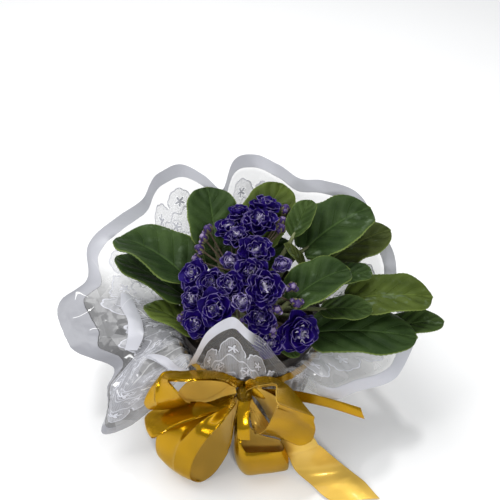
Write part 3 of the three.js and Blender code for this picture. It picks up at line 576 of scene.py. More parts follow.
class Signal:
    """A socket that carries a number. Python's operators on it add Math nodes."""

    def __init__(self, graph, socket):
        self.graph = graph
        self.socket = socket

    def math(self, operation, *others):
        return self.graph.math(operation, self, *others)

    def __add__(self, other):
        return self.math("ADD", other)

    __radd__ = __add__

    def __sub__(self, other):
        return self.math("SUBTRACT", other)

    def __rsub__(self, other):
        return self.graph.math("SUBTRACT", other, self)

    def __mul__(self, other):
        return self.math("MULTIPLY", other)

    __rmul__ = __mul__

    def __truediv__(self, other):
        return self.math("DIVIDE", other)

    def __pow__(self, other):
        return self.math("POWER", other)

    def __abs__(self):
        return self.math("ABSOLUTE")

    def sin(self):
        return self.math("SINE")

    def fraction(self):
        return self.math("FRACT")

    def least(self, other):
        return self.math("MINIMUM", other)

    def most(self, other):
        return self.math("MAXIMUM", other)

    def rise(self, low, high):
        """0 below low and 1 above high, with a soft step between; low may be the larger."""
        return self.graph.node(
            "ShaderNodeMapRange",
            {"interpolation_type": "SMOOTHSTEP"},
            {"Value": self, "From Min": low, "From Max": high},
        )


class Graph:
    """A node material and the one method that adds its nodes."""

    def __init__(self, name):
        self.material = bpy.data.materials.new(name)
        self.material.use_nodes = True
        self.tree = self.material.node_tree
        self.tree.nodes.clear()

    def feed(self, socket, value):
        if isinstance(value, Signal):
            self.tree.links.new(value.socket, socket)
        else:
            socket.default_value = value

    def node(self, kind, settings=None, values=None, output=0):
        """Adds a node: first its settings, then the values or links of its sockets."""
        made = self.tree.nodes.new(kind)
        for key, value in (settings or {}).items():
            setattr(made, key, value)
        for key, value in (values or {}).items():
            self.feed(made.inputs[key], value)
        return Signal(self, made.outputs[output]) if made.outputs else None

    def math(self, operation, *values):
        return self.node("ShaderNodeMath", {"operation": operation}, dict(enumerate(values)))

    def mix(self, factor, low, high):
        """A colour between low and high."""
        return self.node(
            "ShaderNodeMix", {"data_type": "RGBA"}, {0: factor, 6: low, 7: high}, output=2
        )

    def place(self):
        """Where a point is in the row frame, in metres."""
        return self.node("ShaderNodeTexCoord", output=3)

    def uv(self):
        """The two numbers of the piece's own UV map."""
        both = self.node("ShaderNodeTexCoord", output=2)
        return [self.part(both, k) for k in (0, 1)]

    def part(self, vector, index):
        return self.node("ShaderNodeSeparateXYZ", None, {0: vector}, output=index)

    def noise(self, scale, detail=3, roughness=0.5):
        values = {"Scale": scale, "Detail": detail, "Roughness": roughness}
        return self.node("ShaderNodeTexNoise", None, {"Vector": self.place(), **values})

    def cells(self, scale, output=0):
        """How far the nearest Voronoi centre is, or with output 1 a colour for each cell."""
        return self.node(
            "ShaderNodeTexVoronoi", None, {"Vector": self.place(), "Scale": scale}, output
        )

    def attribute(self, name):
        return self.node("ShaderNodeAttribute", {"attribute_name": name}, output=2)

    def bump(self, height, distance, strength=1.0):
        """A surface normal from a height signal, whose full step is distance metres."""
        values = {"Strength": strength, "Distance": distance, "Height": height}
        return self.node("ShaderNodeBump", None, values)

    def finish(self, **inputs):
        """The Principled surface with these inputs, joined to the output."""
        named = {key.replace("_", " "): value for key, value in inputs.items()}
        shader = self.node("ShaderNodeBsdfPrincipled", None, named)
        self.node("ShaderNodeOutputMaterial", None, {"Surface": shader})
        return self.material


def tint(color, factor=1.0):
    """An opaque shader colour from three numbers, scaled."""
    return (*(min(1.0, part * factor) for part in color), 1.0)


# Materials

LEAF_GREENS = {
    "dark": ((0.012, 0.028, 0.006), (0.045, 0.080, 0.020)),
    "mid": ((0.018, 0.038, 0.007), (0.056, 0.092, 0.022)),
    "yellow": ((0.036, 0.056, 0.008), (0.086, 0.120, 0.021)),
    "olive": ((0.030, 0.044, 0.008), (0.080, 0.100, 0.024)),
}
# Colour of the painted sheen: pale streaks painted on the blades where light catches the velvet
# hairs
PAINTED_VELVET_SHEEN = (0.15, 0.20, 0.13)
# The lace, in millimetres: its first row below the border band, how deep it runs below that
# row, the mesh of its net, and the size of the daisies further in
LACE_BELOW_BAND_MM = 21
LACE_DEEP_MM = 66
NET_MM = 1.4
INNER_DAISY_R = 6.5
# How far down from the rim the collar passes into the wall, in millimetres
WALL_SPAN_MM = (84, 94)


def vein_signals(graph):
    """The midrib, the side veins, the swellings between them, and the places across and along
    a blade."""
    across, along = graph.uv()
    out = abs(across * 2 - 1)
    midrib = out.rise(0.07, 0.0) * (1 - along * 0.75)
    phase = along * VEIN_PAIRS - out * VEIN_SWEEP + 0.5
    from_vein = abs(phase.fraction() - 0.5)
    side = from_vein.rise(0.06, 0.0) * out.rise(1.0, 0.4)
    swelling = from_vein.rise(0.08, 0.5)
    return midrib, side, swelling, out, along


def leaf_upper(green, margin):
    """Velvety blade: mottled green, pale veins and a fine yellow-green margin, with painted
    highlights on the swellings between the veins and painted sheen streaks on the velvet.
    """
    deep, light = LEAF_GREENS[green]
    graph = Graph(f"leaf_{green}_upper")
    midrib, side, swelling, out, along = vein_signals(graph)
    mottle = graph.noise(60, 4).rise(0.35, 0.72)
    cloud = graph.noise(24, 2).rise(0.42, 0.68)
    towards_edge = out.rise(0.5, 1.0) * 0.35 + along.rise(0.75, 1.0) * 0.2
    # Painted highlight: the swellings between the veins are painted lighter; mottle, cloud and the
    # paler margin are the green's own tone.
    tone_and_swelling_light = mottle * 0.35 + cloud * 0.4 + swelling * 0.12 + towards_edge
    body = graph.mix(tone_and_swelling_light.least(1), tint(deep), tint(light))
    # Painted sheen: pale streaks, most on the swellings between the veins, stand in for light on
    # the velvet hairs.
    sheen_streaks = graph.noise(80, 4, roughness=0.6).rise(0.55, 0.66) * out.rise(1.0, 0.75)
    sheen_patches = graph.noise(24, 1).rise(0.47, 0.58)
    with_painted_sheen = graph.mix(sheen_streaks * sheen_patches * (swelling * 0.5 + 0.3), body, tint(PAINTED_VELVET_SHEEN))
    veined = graph.mix((midrib * 0.5 + side * 0.22).least(1), with_painted_sheen, tint(light, 2.0))
    rim = out.rise(0.945, 0.985).most(along.rise(0.975, 1.0))
    hairs = graph.noise(1400, 2)
    fine = graph.noise(260, 4)
    height = fine * 0.5 + hairs * 0.35 + swelling * 0.6 - midrib * 0.7 - side * 0.6
    return graph.finish(
        Base_Color=graph.mix(rim * 0.85, veined, tint(margin)),
        Roughness=fine * 0.2 + 0.36,
        Specular_IOR_Level=0.09,
        Sheen_Weight=0.004,
        Sheen_Roughness=0.4,
        Normal=graph.bump(height, 0.0011, 0.9),
    )


def leaf_under(green, margin):
    """Pale underside with raised veins."""
    deep, light = LEAF_GREENS[green]
    graph = Graph(f"leaf_{green}_under")
    midrib, side, _, _, _ = vein_signals(graph)
    pale = tint([0.6 * a + 0.4 * b for a, b in zip(light, (0.16, 0.21, 0.08))])
    body = graph.mix(graph.noise(90, 3), pale, tint(light, 1.3))
    veined = graph.mix((midrib * 0.8 + side * 0.55).least(1), body, tint(margin))
    height = graph.noise(900, 3) * 0.4 + midrib + side * 0.7
    return graph.finish(
        Base_Color=veined,
        Roughness=0.6,
        Specular_IOR_Level=0.15,
        Sheen_Weight=0.04,
        Sheen_Roughness=0.5,
        Normal=graph.bump(height, 0.0004, 0.8),
    )


def hairy(name, base, pale):
    """Stems: streaked colour under short pale hairs."""
    graph = Graph(name)
    streak = graph.noise(420, 3)
    patch = graph.noise(45, 2).rise(0.4, 0.65)
    body = graph.mix(patch, tint(base), tint(base, 1.7))
    return graph.finish(
        Base_Color=graph.mix(streak.rise(0.52, 0.8) * 0.7, body, tint(pale)),
        Roughness=0.6,
        Sheen_Weight=0.08,
        Sheen_Roughness=0.4,
        Normal=graph.bump(streak, 0.0004, 0.8),
    )


def petal(name, deep, bright, edge, edge_reach):
    """Petal: saturated colour with fine lengthwise veins and a thin wavy pale edge."""
    graph = Graph(name)
    across, along = graph.uv()
    out = abs(across * 2 - 1)
    wobble = graph.noise(700, 3) * 0.04 - 0.02
    end = (along + wobble).rise(edge_reach, edge_reach + 0.03)
    flank = (out + wobble).rise(0.95, 1.0) * along.rise(0.6, 0.95) * 0.5
    rays = ((across * 70).sin() * 0.5 + 0.5) * graph.noise(300, 2)
    body = graph.mix(rays.least(1), tint(deep), tint(bright))
    patchy = graph.noise(210, 2).rise(0.42, 0.60) * 0.75 + 0.05
    broad = (along + wobble).rise(edge_reach - 0.09, edge_reach + 0.02)
    broad = broad * graph.noise(160, 1).rise(0.56, 0.68) * 0.6
    return graph.finish(
        Base_Color=graph.mix((end.most(flank) * patchy).most(broad), body, tint(edge)),
        Roughness=graph.noise(500, 2) * 0.2 + 0.36,
        Specular_IOR_Level=0.09,
        Normal=graph.bump(rays + graph.noise(1200, 2) * 0.5, 0.00025, 0.6),
    )


def medallions(graph, x, y, radius):
    """One row of daisies: the scalloped disc, its outline, the gap round a daisy and the daisy,
    from the places x and y about its middle in millimetres."""
    distance = (x * x + y * y) ** 0.5
    angle = graph.math("ARCTAN2", y, x)
    scallop = abs((angle * 4.5).sin()) * 1.1 + (radius - 1.1)
    inside = (distance - scallop).rise(0.15, -0.15)
    outline = abs(distance - scallop + 0.7).rise(0.75, 0.35)
    petals = (angle * 5).math("COSINE") * 1.7 + 3.2
    gap = (distance - petals).rise(1.1, 0.7) * (distance - petals).rise(-0.2, 0.2)
    daisy = (distance - petals).rise(0.1, -0.3)
    return inside, outline, gap, daisy


def lace(graph, around, depth, first_row, period_mm):
    """How solid the lace is: a net with a scalloped edge of daisies, and further in three rows
    of smaller daisies, each below a wandering vine."""
    x = (around.fraction() - 0.5) * period_mm
    x_between = ((around + 0.5).fraction() - 0.5) * period_mm
    edge_r = period_mm / 2 - 0.2
    disc, outline, gap, daisy = medallions(graph, x, depth - first_row, edge_r)
    field = (depth - first_row).rise(-0.2, 0.2)
    across_net = (around * (period_mm / NET_MM * math.pi)).sin()
    down_net = (depth * (2 * math.pi / NET_MM)).sin()
    net = abs(across_net).most(abs(down_net)).rise(0.5, 0.85) * 0.3 + 0.16
    upper_half = (depth - first_row).rise(1.0, 0.0)
    solid = disc.most(field) * net
    solid = solid.most(outline * disc * upper_half * 0.95)
    solid = solid * (1 - gap * 0.9)
    solid = solid.most(daisy * 0.98)
    wander = (around * (4 * math.pi)).sin() * 2.2
    for places, lower_by in ((x_between, 17), (x, 35), (x_between, 53)):
        row = first_row + lower_by
        _, outline, gap, daisy = medallions(graph, places, depth - row, INNER_DAISY_R)
        solid = solid * (1 - gap * 0.8)
        solid = solid.most(outline * 0.85).most(daisy * 0.98)
        vine = abs(depth - (row - 9) - wander).rise(0.95, 0.5)
        solid = solid.most(vine * 0.9)
    return solid * depth.rise(first_row + LACE_DEEP_MM + 8, first_row + LACE_DEEP_MM)


def printed_film(print_color, clear_alpha, band_mm, period_mm):
    """Clear film with a white border band and rows of lace. U counts lace periods along the rim
    and V is the distance down from the rim in decimetres. One point attribute tells how closely
    the film is gathered, which makes it less clear and paints it grey as shade; the attribute bare
    tells where its border is turned under. Thin white lines on its creases and pleats are painted
    glints."""
    graph = Graph("lace_film")
    around, down = graph.uv()
    depth = down * 100
    veil_and_shade = graph.attribute("veil_and_shade")
    bare = graph.attribute("bare")
    solid = lace(graph, around, depth, band_mm + LACE_BELOW_BAND_MM, period_mm)
    band = depth.rise(band_mm + 0.2, band_mm - 0.2) * (1 - bare)
    curls = abs((depth * 0.3 + graph.noise(30, 1)).fraction() - 0.5).rise(0.12, 0.03)
    solid = solid.most(curls * bare * depth.rise(band_mm + 10, band_mm) * 0.55)
    solid = solid.most(band * 0.98)
    facing = graph.node("ShaderNodeLayerWeight", None, {"Blend": 0.35}, output=1)
    wall = depth.rise(*WALL_SPAN_MM)
    clear = facing**3 * 0.5 + veil_and_shade * 0.78 + (1 - wall * 0.65) * clear_alpha
    height = graph.cells(42) * 1.6 + graph.cells(96) * 0.6 + graph.noise(38, 2) * 0.5
    calm = (1 - band * 0.8) * (veil_and_shade * 0.85 + 0.15)
    # Painted shade: gathered film is painted dark grey, each crumpled facet a different grey as if
    # lit from its own angle, and the printed band there is painted darker.
    shade = graph.cells(82, output=1).rise(0.25, 0.75)
    gathered_and_shaded = graph.mix(shade, (0.055, 0.055, 0.058, 1), (0.21, 0.21, 0.215, 1))
    film = graph.mix(veil_and_shade, (0.60, 0.60, 0.60, 1), gathered_and_shaded)
    ink_with_shade = graph.mix(veil_and_shade * band, tint(print_color), tint(print_color, 0.5))
    # Painted glints: thin broken white lines on the gathered film and white lines along the wall's
    # pleats stand in for light caught on creases.
    line = abs(graph.noise(46, 0) - 0.5).rise(0.010, 0.003)
    crease = line * graph.noise(52, 1).rise(0.54, 0.57) * veil_and_shade
    wander = graph.noise(24, 1) * 1.6
    pleats = abs((around * 1.5 + wander).fraction() - 0.5).rise(0.07, 0.0) * wall
    crease = crease.most(pleats * 0.42)
    return graph.finish(
        Base_Color=graph.mix(crease, graph.mix(solid, film, ink_with_shade), (0.95, 0.95, 0.95, 1)),
        Alpha=(solid + (1 - solid) * clear).most(crease).least(1),
        Roughness=solid * 0.25 + 0.09,
        Specular_IOR_Level=0.4,
        Normal=graph.bump(height * calm, 0.0026),
    )


def satin(name, color, metallic, rough):
    """Ribbon: smooth satin with a soft sheen, a faint weave and slightly darker selvedges."""
    graph = Graph(name)
    across, along = graph.uv()
    clouds = graph.noise(22, 2)
    weave = (across * 700).sin() * (along * 700).sin()
    edge = abs(across * 2 - 1).rise(0.955, 0.985)
    body = graph.mix(clouds.rise(0.3, 0.7), tint(color, 0.8), tint(color, 1.2))
    return graph.finish(
        Base_Color=graph.mix(edge * 0.35, body, tint(color, 0.7)),
        Metallic=metallic,
        Roughness=clouds * 0.08 + rough,
        Specular_IOR_Level=0.25,
        Specular_Tint=(1.0, 0.84, 0.2, 1.0),
        Coat_Weight=0.18,
        Coat_Roughness=0.07,
        Coat_Tint=(1.0, 0.9, 0.6, 1.0),
        Normal=graph.bump(weave, 0.00002, 0.3),
    )


def moulded(name, color):
    """Thin moulded plastic with faint turning lines and dust."""
    graph = Graph(name)
    height = graph.part(graph.place(), 2)
    rings = (height * 2600).sin() * 0.5 + 0.5
    dust = graph.noise(70, 5).rise(0.5, 0.8)
    return graph.finish(
        Base_Color=graph.mix(dust * 0.35, tint(color), tint((0.16, 0.13, 0.10))),
        Roughness=0.38 + dust * 0.3,
        Normal=graph.bump(rings * 0.3 + graph.noise(500, 3) * 0.4, 0.0002, 0.5),
    )


def crumbly(name, dark, light):
    """Potting mix: dark fibres with paler flecks."""
    graph = Graph(name)
    grain = graph.noise(420, 6, roughness=0.7)
    fleck = graph.cells(520).rise(0.28, 0.12)
    body = graph.mix(grain.rise(0.35, 0.7), tint(dark), tint(light))
    return graph.finish(
        Base_Color=graph.mix(fleck * grain.rise(0.5, 0.7), body, tint((0.30, 0.25, 0.18))),
        Roughness=0.92,
        Normal=graph.bump(grain + fleck * 0.3, 0.0012),
    )


def plain_floor(color):
    """Pale matt floor with a trace of grain."""
    graph = Graph("pale_floor")
    grain = graph.noise(9, 2)
    return graph.finish(
        Base_Color=graph.mix(grain, tint(color, 0.985), tint(color)),
        Roughness=0.9,
        Specular_IOR_Level=0.1,
    )


# Sizes and colours that a user would change

def length_setting(name, description, default_mm, least_mm):
    return bpy.props.FloatProperty(
        name=name, description=description, default=default_mm * MM, min=least_mm * MM,
        unit="LENGTH",
    )


def color_setting(name, description, default):
    return bpy.props.FloatVectorProperty(
        name=name, description=description, default=default, subtype="COLOR"
    )


def number_setting(name, description, default, least=0.0, most=1000.0, unit="NONE"):
    return bpy.props.FloatProperty(
        name=name, description=description, default=default, min=least, max=most, unit=unit
    )


class VioletPlantSettings(bpy.types.PropertyGroup):
    """The plant's sizes and colours."""

    leaf_thick: length_setting(
        "Blade thickness", "Thickness of a leaf blade at its middle", 1.3, 0.3
    )
    petal_thick: length_setting("Petal thickness", "Thickness of one petal", 0.25, 0.1)
    bloom_spread: number_setting(
        "Bloom spread", "How far the outer petals reach past the bloom's size", 1.42, 0.8, 1.6
    )
    leaf_margin: color_setting(
        "Leaf margin", "Colour of the fine edge of each leaf", (0.15, 0.20, 0.045)
    )
    petal_deep: color_setting("Petal", "Deep colour of the petals", (0.0066, 0.0015, 0.066))
    petal_edge: color_setting("Petal edge", "Colour of the wavy petal edges", (0.26, 0.21, 0.45))


class VioletWrapSettings(bpy.types.PropertyGroup):
    """The wrap's film and print."""

    band: length_setting("Border band", "Width of the solid band along the rim", 12, 1)
    lace: length_setting("Lace period", "Distance between two daisies along the rim", 25, 8)
    clear_alpha: number_setting(
        "Clear film", "How much of its own white the unprinted film shows", 0.13, most=1
    )
    print_color: color_setting(
        "Print", "Colour of the printed band and lace", (0.60, 0.605, 0.66)
    )
    crumple: length_setting("Crumple", "Height of the film's crumples", 1.6, 0)


class VioletBowSettings(bpy.types.PropertyGroup):
    """The ribbon of the bow and of the band round the neck."""

    wide: length_setting("Ribbon width", "Full width of the ribbon", 38, 5)
    narrow: length_setting("Tie width", "Width of the narrow tie strip", 9, 2)
    thick: length_setting("Ribbon thickness", "Thickness of the ribbon", 0.35, 0.1)
    color: color_setting("Ribbon colour", "Colour of the satin's face", (0.385, 0.212, 0.003))
    # The ribbon's paler back, made paler still as painted light on the shaded insides of the loops
    back_and_light_color: color_setting(
        "Ribbon back", "Colour of the ribbon's paler back", (0.64, 0.42, 0.085)
    )


class VioletStageSettings(bpy.types.PropertyGroup):
    """The floor, the lights and the camera."""

    floor_color: color_setting("Floor", "Colour of the plain floor", (0.96, 0.96, 0.96))
    lens: number_setting("Lens", "Focal length of the camera", 50, 20, 200, "CAMERA")
    key_power: number_setting(
        "Key light", "Power of the large overhead light", 13.6, unit="POWER"
    )
    sky: number_setting("Sky", "Brightness of the light from all round", 0.38)


# Pot, soil and crown

# Profiles as (radius, height), from the axis round the section and back to the axis
POT_PROFILE = [
    (0, 0.8), (39.5, 0.8), (41, 1.6), (46.9, 42), (52.8, 83), (56.6, 83), (57.2, 83.8),
    (57.2, 91.2), (56.6, 92), (55.9, 91.4), (55.7, 86.4), (51.5, 85.4), (45.5, 42),
    (39.6, 2.2), (0, 2.2),
]
DRAIN_HOLES = 5
DRAIN_HOLE_R = 4
DRAIN_RING_R = 28
SOIL_PROFILE = [
    (0, 2.6), (39, 2.6), (45, 42), (50.2, 76.4), (49, 77.3), (46, 78.2), (42, 78.9),
    (38, 79.4), (34, 79.7), (30, 79.9), (26, 80), (22, 80), (18, 80), (13, 80), (8, 80),
    (0, 80),
]
# The soil is lumpy above this height and inside this radius
LUMPY_Z = 76
LUMPY_R = 48.5
CRUMBS = 190
CRUMBS_R = 47
CRUMBS_Z = 79.6
CROWN_SCARS = 9


class VIOLET_OT_pot(bpy.types.Operator):
    """Build the thin nursery pot."""

    bl_idname = "violet.pot"
    bl_label = "Nursery pot"

    def execute(self, context):
        pot = spun("nursery_pot_shell", POT_PROFILE, 96)
        drills = []
        for k in range(DRAIN_HOLES):
            centre = polar(360 * k / DRAIN_HOLES, DRAIN_RING_R, 1.5) * MM
            clear_selection()
            bpy.ops.mesh.primitive_cylinder_add(
                vertices=32, radius=DRAIN_HOLE_R * MM, depth=6 * MM, location=centre
            )
            drills.append(bpy.context.object)
        drill = join("drill", drills)
        modify(pot, "BOOLEAN", operation="DIFFERENCE", object=drill)
        discard([drill])
        smooth(pot, 35)
        paint(pot, moulded("black_plastic", (0.018, 0.014, 0.012)))
        seat(pot, "pot", "nursery_pot")
        return {"FINISHED"}


class VIOLET_OT_soil(bpy.types.Operator):
    """Build the potting mix with its crumbs."""

    bl_idname = "violet.soil"
    bl_label = "Potting mix"

    def execute(self, context):
        soil = spun("potting_mix", SOIL_PROFILE, 120)
        for vertex in soil.data.vertices:
            x, y, z = vertex.co
            radius = math.hypot(x, y) / MM
            if z > LUMPY_Z * MM and radius < LUMPY_R:
                lump = noise.noise(Vector((x, y, 0.3)) * 160)
                lump += noise.noise(Vector((x, y, 0)) * 420)
                edge = min(1.0, (LUMPY_R + 0.5 - radius) / 5)
                vertex.co.z += 0.9 * MM * lump * edge - 0.6 * MM
        smooth(soil, 60)
        paint(soil, crumbly("peat", (0.012, 0.008, 0.005), (0.055, 0.036, 0.022)))
        seat(soil, "soil", "potting_soil")
        self.add_crumbs()
        return {"FINISHED"}

    def add_crumbs(self):
        """Scatters loose crumbs of bark over the soil, outside the crown."""
        dice = random.Random(SEEDS["crumbs"])
        clear_selection()
        bpy.ops.mesh.primitive_ico_sphere_add(subdivisions=1, radius=MM)
        crumb = bpy.context.object
        copies = []
        for _ in range(CRUMBS):
            radius = CRUMBS_R * math.sqrt(dice.random())
            if radius < CROWN_R + 1:
                continue
            z = CRUMBS_Z - 0.0012 * radius**2
            place = Vector(polar(dice.uniform(0, 360), radius, z)) * MM
            sizes = [dice.uniform(0.5, 1.6) for _ in range(3)]
            angle = dice.uniform(0, 6)
            axis = Vector([dice.random() for _ in range(3)])
            turn = Matrix.Rotation(angle, 4, axis)
            scale = Matrix.Diagonal((*sizes, 1))
            copies.append(copied(crumb, Matrix.Translation(place) @ turn @ scale))
        discard([crumb])
        crumbs = join("soil_crumbs", copies)
        paint(crumbs, crumbly("bark_crumb", (0.035, 0.022, 0.012), (0.16, 0.11, 0.07)))
        seat(crumbs, "soil")


class VIOLET_OT_crown(bpy.types.Operator):
    """Build the short scarred stem under the leaves."""

    bl_idname = "violet.crown"
    bl_label = "Crown"

    def execute(self, context):
        profile = [(0, 80.3)]
        for k in range(CROWN_SCARS):
            z = 80.5 + k * 2
            profile += [(11.4 - 0.1 * k, z), (12 - 0.1 * k, z + 1)]
        profile += [(9.5, CROWN_TOP_Z - 1), (6, CROWN_TOP_Z), (0, CROWN_TOP_Z)]
        crown = spun("crown_stem", profile, 48)
        for vertex in crown.data.vertices:
            swell = 1 + 0.07 * noise.noise(vertex.co * 130)
            vertex.co.x *= swell
            vertex.co.y *= swell
        smooth(crown, 50)
        paint(crown, hairy("crown_bark", (0.075, 0.085, 0.030), (0.25, 0.24, 0.12)))
        seat(crown, "crown", "crown")
        return {"FINISHED"}


# Leaves

BLADE_ACROSS = 36
BLADE_ALONG = 56
HEART_FROM_WIDE = 40
# The width at which a blade's relief and its stalk have the heights and radii stated below
RELIEF_WIDE = 44
PETIOLE_STEPS = 22
PETIOLE_R = (2.0, 1.65)
PETIOLE_UNDER_R = (1.35, 0.95, 0.4)
PETIOLE_UNDER = (0.08, 0.2, 0.34)


def blade_points(spec, dice):
    """The blade's middle surface as a table of points, and its UV table."""
    base, tip = np.array(spec.base, float), np.array(spec.tip, float)
    along = unit(tip - base)
    tilt = Matrix.Rotation(math.radians(spec.tilt), 3, Vector(along))
    up = np.array(tilt @ Vector(UP))
    across = unit(np.cross(along, up))
    normal = unit(np.cross(across, along))
    length = np.linalg.norm(tip - base)
    s, t = shares(BLADE_ACROSS, BLADE_ALONG)
    widths = HEART_WIDTHS if spec.wide > HEART_FROM_WIDE else OVAL_WIDTHS
    tip_share = np.clip((t - TIP_FROM) / (1 - TIP_FROM), 0, 1)
    rounding = np.maximum(TIP_BLUNT, np.sqrt(1 - tip_share**2.2))
    width = through(t[0], BLADE_STATIONS, widths)[None, :] * rounding
    teeth = 0.014 * np.sin(2 * math.pi * 21 * t)
    lobes = 0.015 * np.sin(2 * math.pi * (3.4 * t + 0.2 * np.sign(s)))
    half = spec.wide / 2 * width * (1 + np.abs(s) ** 8 * (teeth + lobes))
    phase = dice.uniform(0, 6)
    out = np.abs(s)
    veins = np.abs(np.sin(math.pi * (t * VEIN_PAIRS - out * VEIN_SWEEP)))
    size = spec.wide / RELIEF_WIDE
    quilt = 1.1 * size * (veins**0.6 - 0.5) * (1 - out**4) * np.minimum(1, 6 * out)
    midrib = -1.1 * size * near(s * half, 0, 1.8) * (1 - 0.6 * t)
    wave = 1.5 * size * out**3 * np.sin(2 * math.pi * (1.7 * t + 0.13 * np.sign(s)) + phase)
    curl = -1.6 * size * np.maximum(0, out - 0.8) ** 2 * 25
    lift = spec.arch * 4 * t * (1 - t) + spec.cup * width * s**2
    lift = lift + quilt + midrib + wave + curl
    cordate = -3.2 * size * near(t, 0, 0.07) * np.minimum(1, out * 1.6)
    round_tip = -0.02 * length * out**2 * (t > 0.9) * (t - 0.9) * 10
    run = length * t + cordate + round_tip
    points = (
        base[None, None, :]
        + along * run[..., None]
        + across * (half * s)[..., None]
        + normal * lift[..., None]
    )
    return points, table((s + 1) / 2, t), along, normal


def petiole_run(spec, along, normal):
    """The leaf stalk from the crown to a little way under the blade, with its radii."""
    degrees, z = spec.root
    root = polar(degrees, CROWN_R + ROOT_GAP - 1.2, z)
    base = np.array(spec.base, float)
    reach = np.linalg.norm(base - root)
    leaving = root + polar(degrees, reach * 0.35, reach * 0.1)
    arriving = base - along * reach * 0.3
    run = bezier((root, leaving, arriving, base), np.linspace(0, 1, PETIOLE_STEPS)[:, None])
    length = np.linalg.norm(np.array(spec.tip, float) - base)
    under = [base + along * length * k - normal * (0.5 + 1.2 * k) for k in PETIOLE_UNDER]
    thick = 1.0 if spec.wide > 20 else 0.6
    radii = [*np.linspace(*PETIOLE_R, PETIOLE_STEPS), *PETIOLE_UNDER_R]
    return [*run, *under], [thick * radius for radius in radii]


class VIOLET_OT_leaves(bpy.types.Operator):
    """Build every leaf blade with its stalk."""

    bl_idname = "violet.leaves"
    bl_label = "Leaves"

    def execute(self, context):
        settings = context.scene.violet_plant
        dice = random.Random(SEEDS["leaves"])
        stem = hairy("petiole", (0.075, 0.085, 0.030), (0.30, 0.34, 0.18))
        finishes = {}
        for green in LEAF_GREENS:
            finishes[green] = (
                leaf_upper(green, settings.leaf_margin),
                leaf_under(green, settings.leaf_margin),
            )
        for name, spec in LEAVES.items():
            points, mapping, along, normal = blade_points(spec, dice)
            blade = grid_piece(name + "_blade", points, mapping)
            paint(blade, *finishes[spec.green])
            self.thicken(blade, settings.leaf_thick)
            stalk = tube(name + "_stalk", [petiole_run(spec, along, normal)], sides=4)
            paint(stalk, stem)
            leaf = join(name + "_velvet", [blade, stalk])
            smooth(leaf, 70)
            seat(leaf, "leaf", name)
        return {"FINISHED"}

    def thicken(self, blade, thick):
        """Gives the blade its thickness, less towards its edges."""
        group = blade.vertex_groups.new(name="edge")
        uv = {}
        for loop, place in zip(blade.data.loops, blade.data.uv_layers[0].data):
            uv[loop.vertex_index] = place.uv
        for index, (u, v) in uv.items():
            out = abs(2 * u - 1)
            group.add([index], 1 - 0.65 * max(out**3, v**6), "REPLACE")
        modify(
            blade, "SOLIDIFY", thickness=thick, offset=0, vertex_group="edge",
            thickness_vertex_group=0.3, material_offset=1, material_offset_rim=1,
        )
        blade.vertex_groups.clear()


# Flowers

PETAL_ACROSS = 10
PETAL_ALONG = 6
PETAL_MM = 10
# Whorls of an open bloom, from the outside in: petals, length and width as shares of the
# bloom's radius, tilt above the bloom's plane in degrees, height above its middle in
# millimetres, and which petal it uses
WHORLS = {
    "open": [
        (6, 1.00, 1.02, 5, -1.8, "outer"),
        (6, 0.92, 0.95, 20, -1.2, "outer"),
        (6, 0.76, 0.80, 38, -0.7, "inner"),
        (6, 0.56, 0.56, 56, -0.2, "inner"),
        (6, 0.38, 0.34, 72, 0.2, "heart"),
    ],
    "frilled": [
        (7, 1.00, 0.95, 8, -1.8, "frilled"),
        (7, 0.92, 0.86, 22, -1.2, "frilled"),
        (7, 0.80, 0.72, 38, -0.7, "frilled"),
        (6, 0.62, 0.56, 54, -0.3, "frilled"),
        (6, 0.44, 0.38, 68, 0.1, "heart"),
    ],
    "half": [
        (6, 0.98, 0.95, 34, -1.8, "half"),
        (6, 0.92, 0.85, 50, -1.0, "half"),
        (6, 0.80, 0.66, 66, -0.4, "half"),
        (6, 0.62, 0.44, 80, 0.2, "heart"),
    ],
}


def petal_points(dice, cup, frill, waves):
    """One petal of length and width 1, growing along +Y from the origin, rounded at its end
    and cupped up."""
    s, t = shares(PETAL_ACROSS, PETAL_ALONG)
    t = t**0.85
    half = 0.56 * (0.34 + 0.66 * np.sin(0.5 * math.pi * np.minimum(1, t * 1.3) ** 0.8))
    half = half * np.sqrt(1 - 0.5 * t**3)
    scallop = 0.022 * np.cos(6 * s + dice.uniform(0, 6))
    run = t * np.sqrt(1 - 0.5 * s**2 * t) * 1.05 + scallop * t**3
    ripple = np.sin(waves * s * math.pi + dice.uniform(0, 6))
    lift = cup * (0.55 * s**2 * t + 0.45 * t**2) + frill * t**3 * ripple
    return table(s * half, run, lift), table((s + 1) / 2, t)


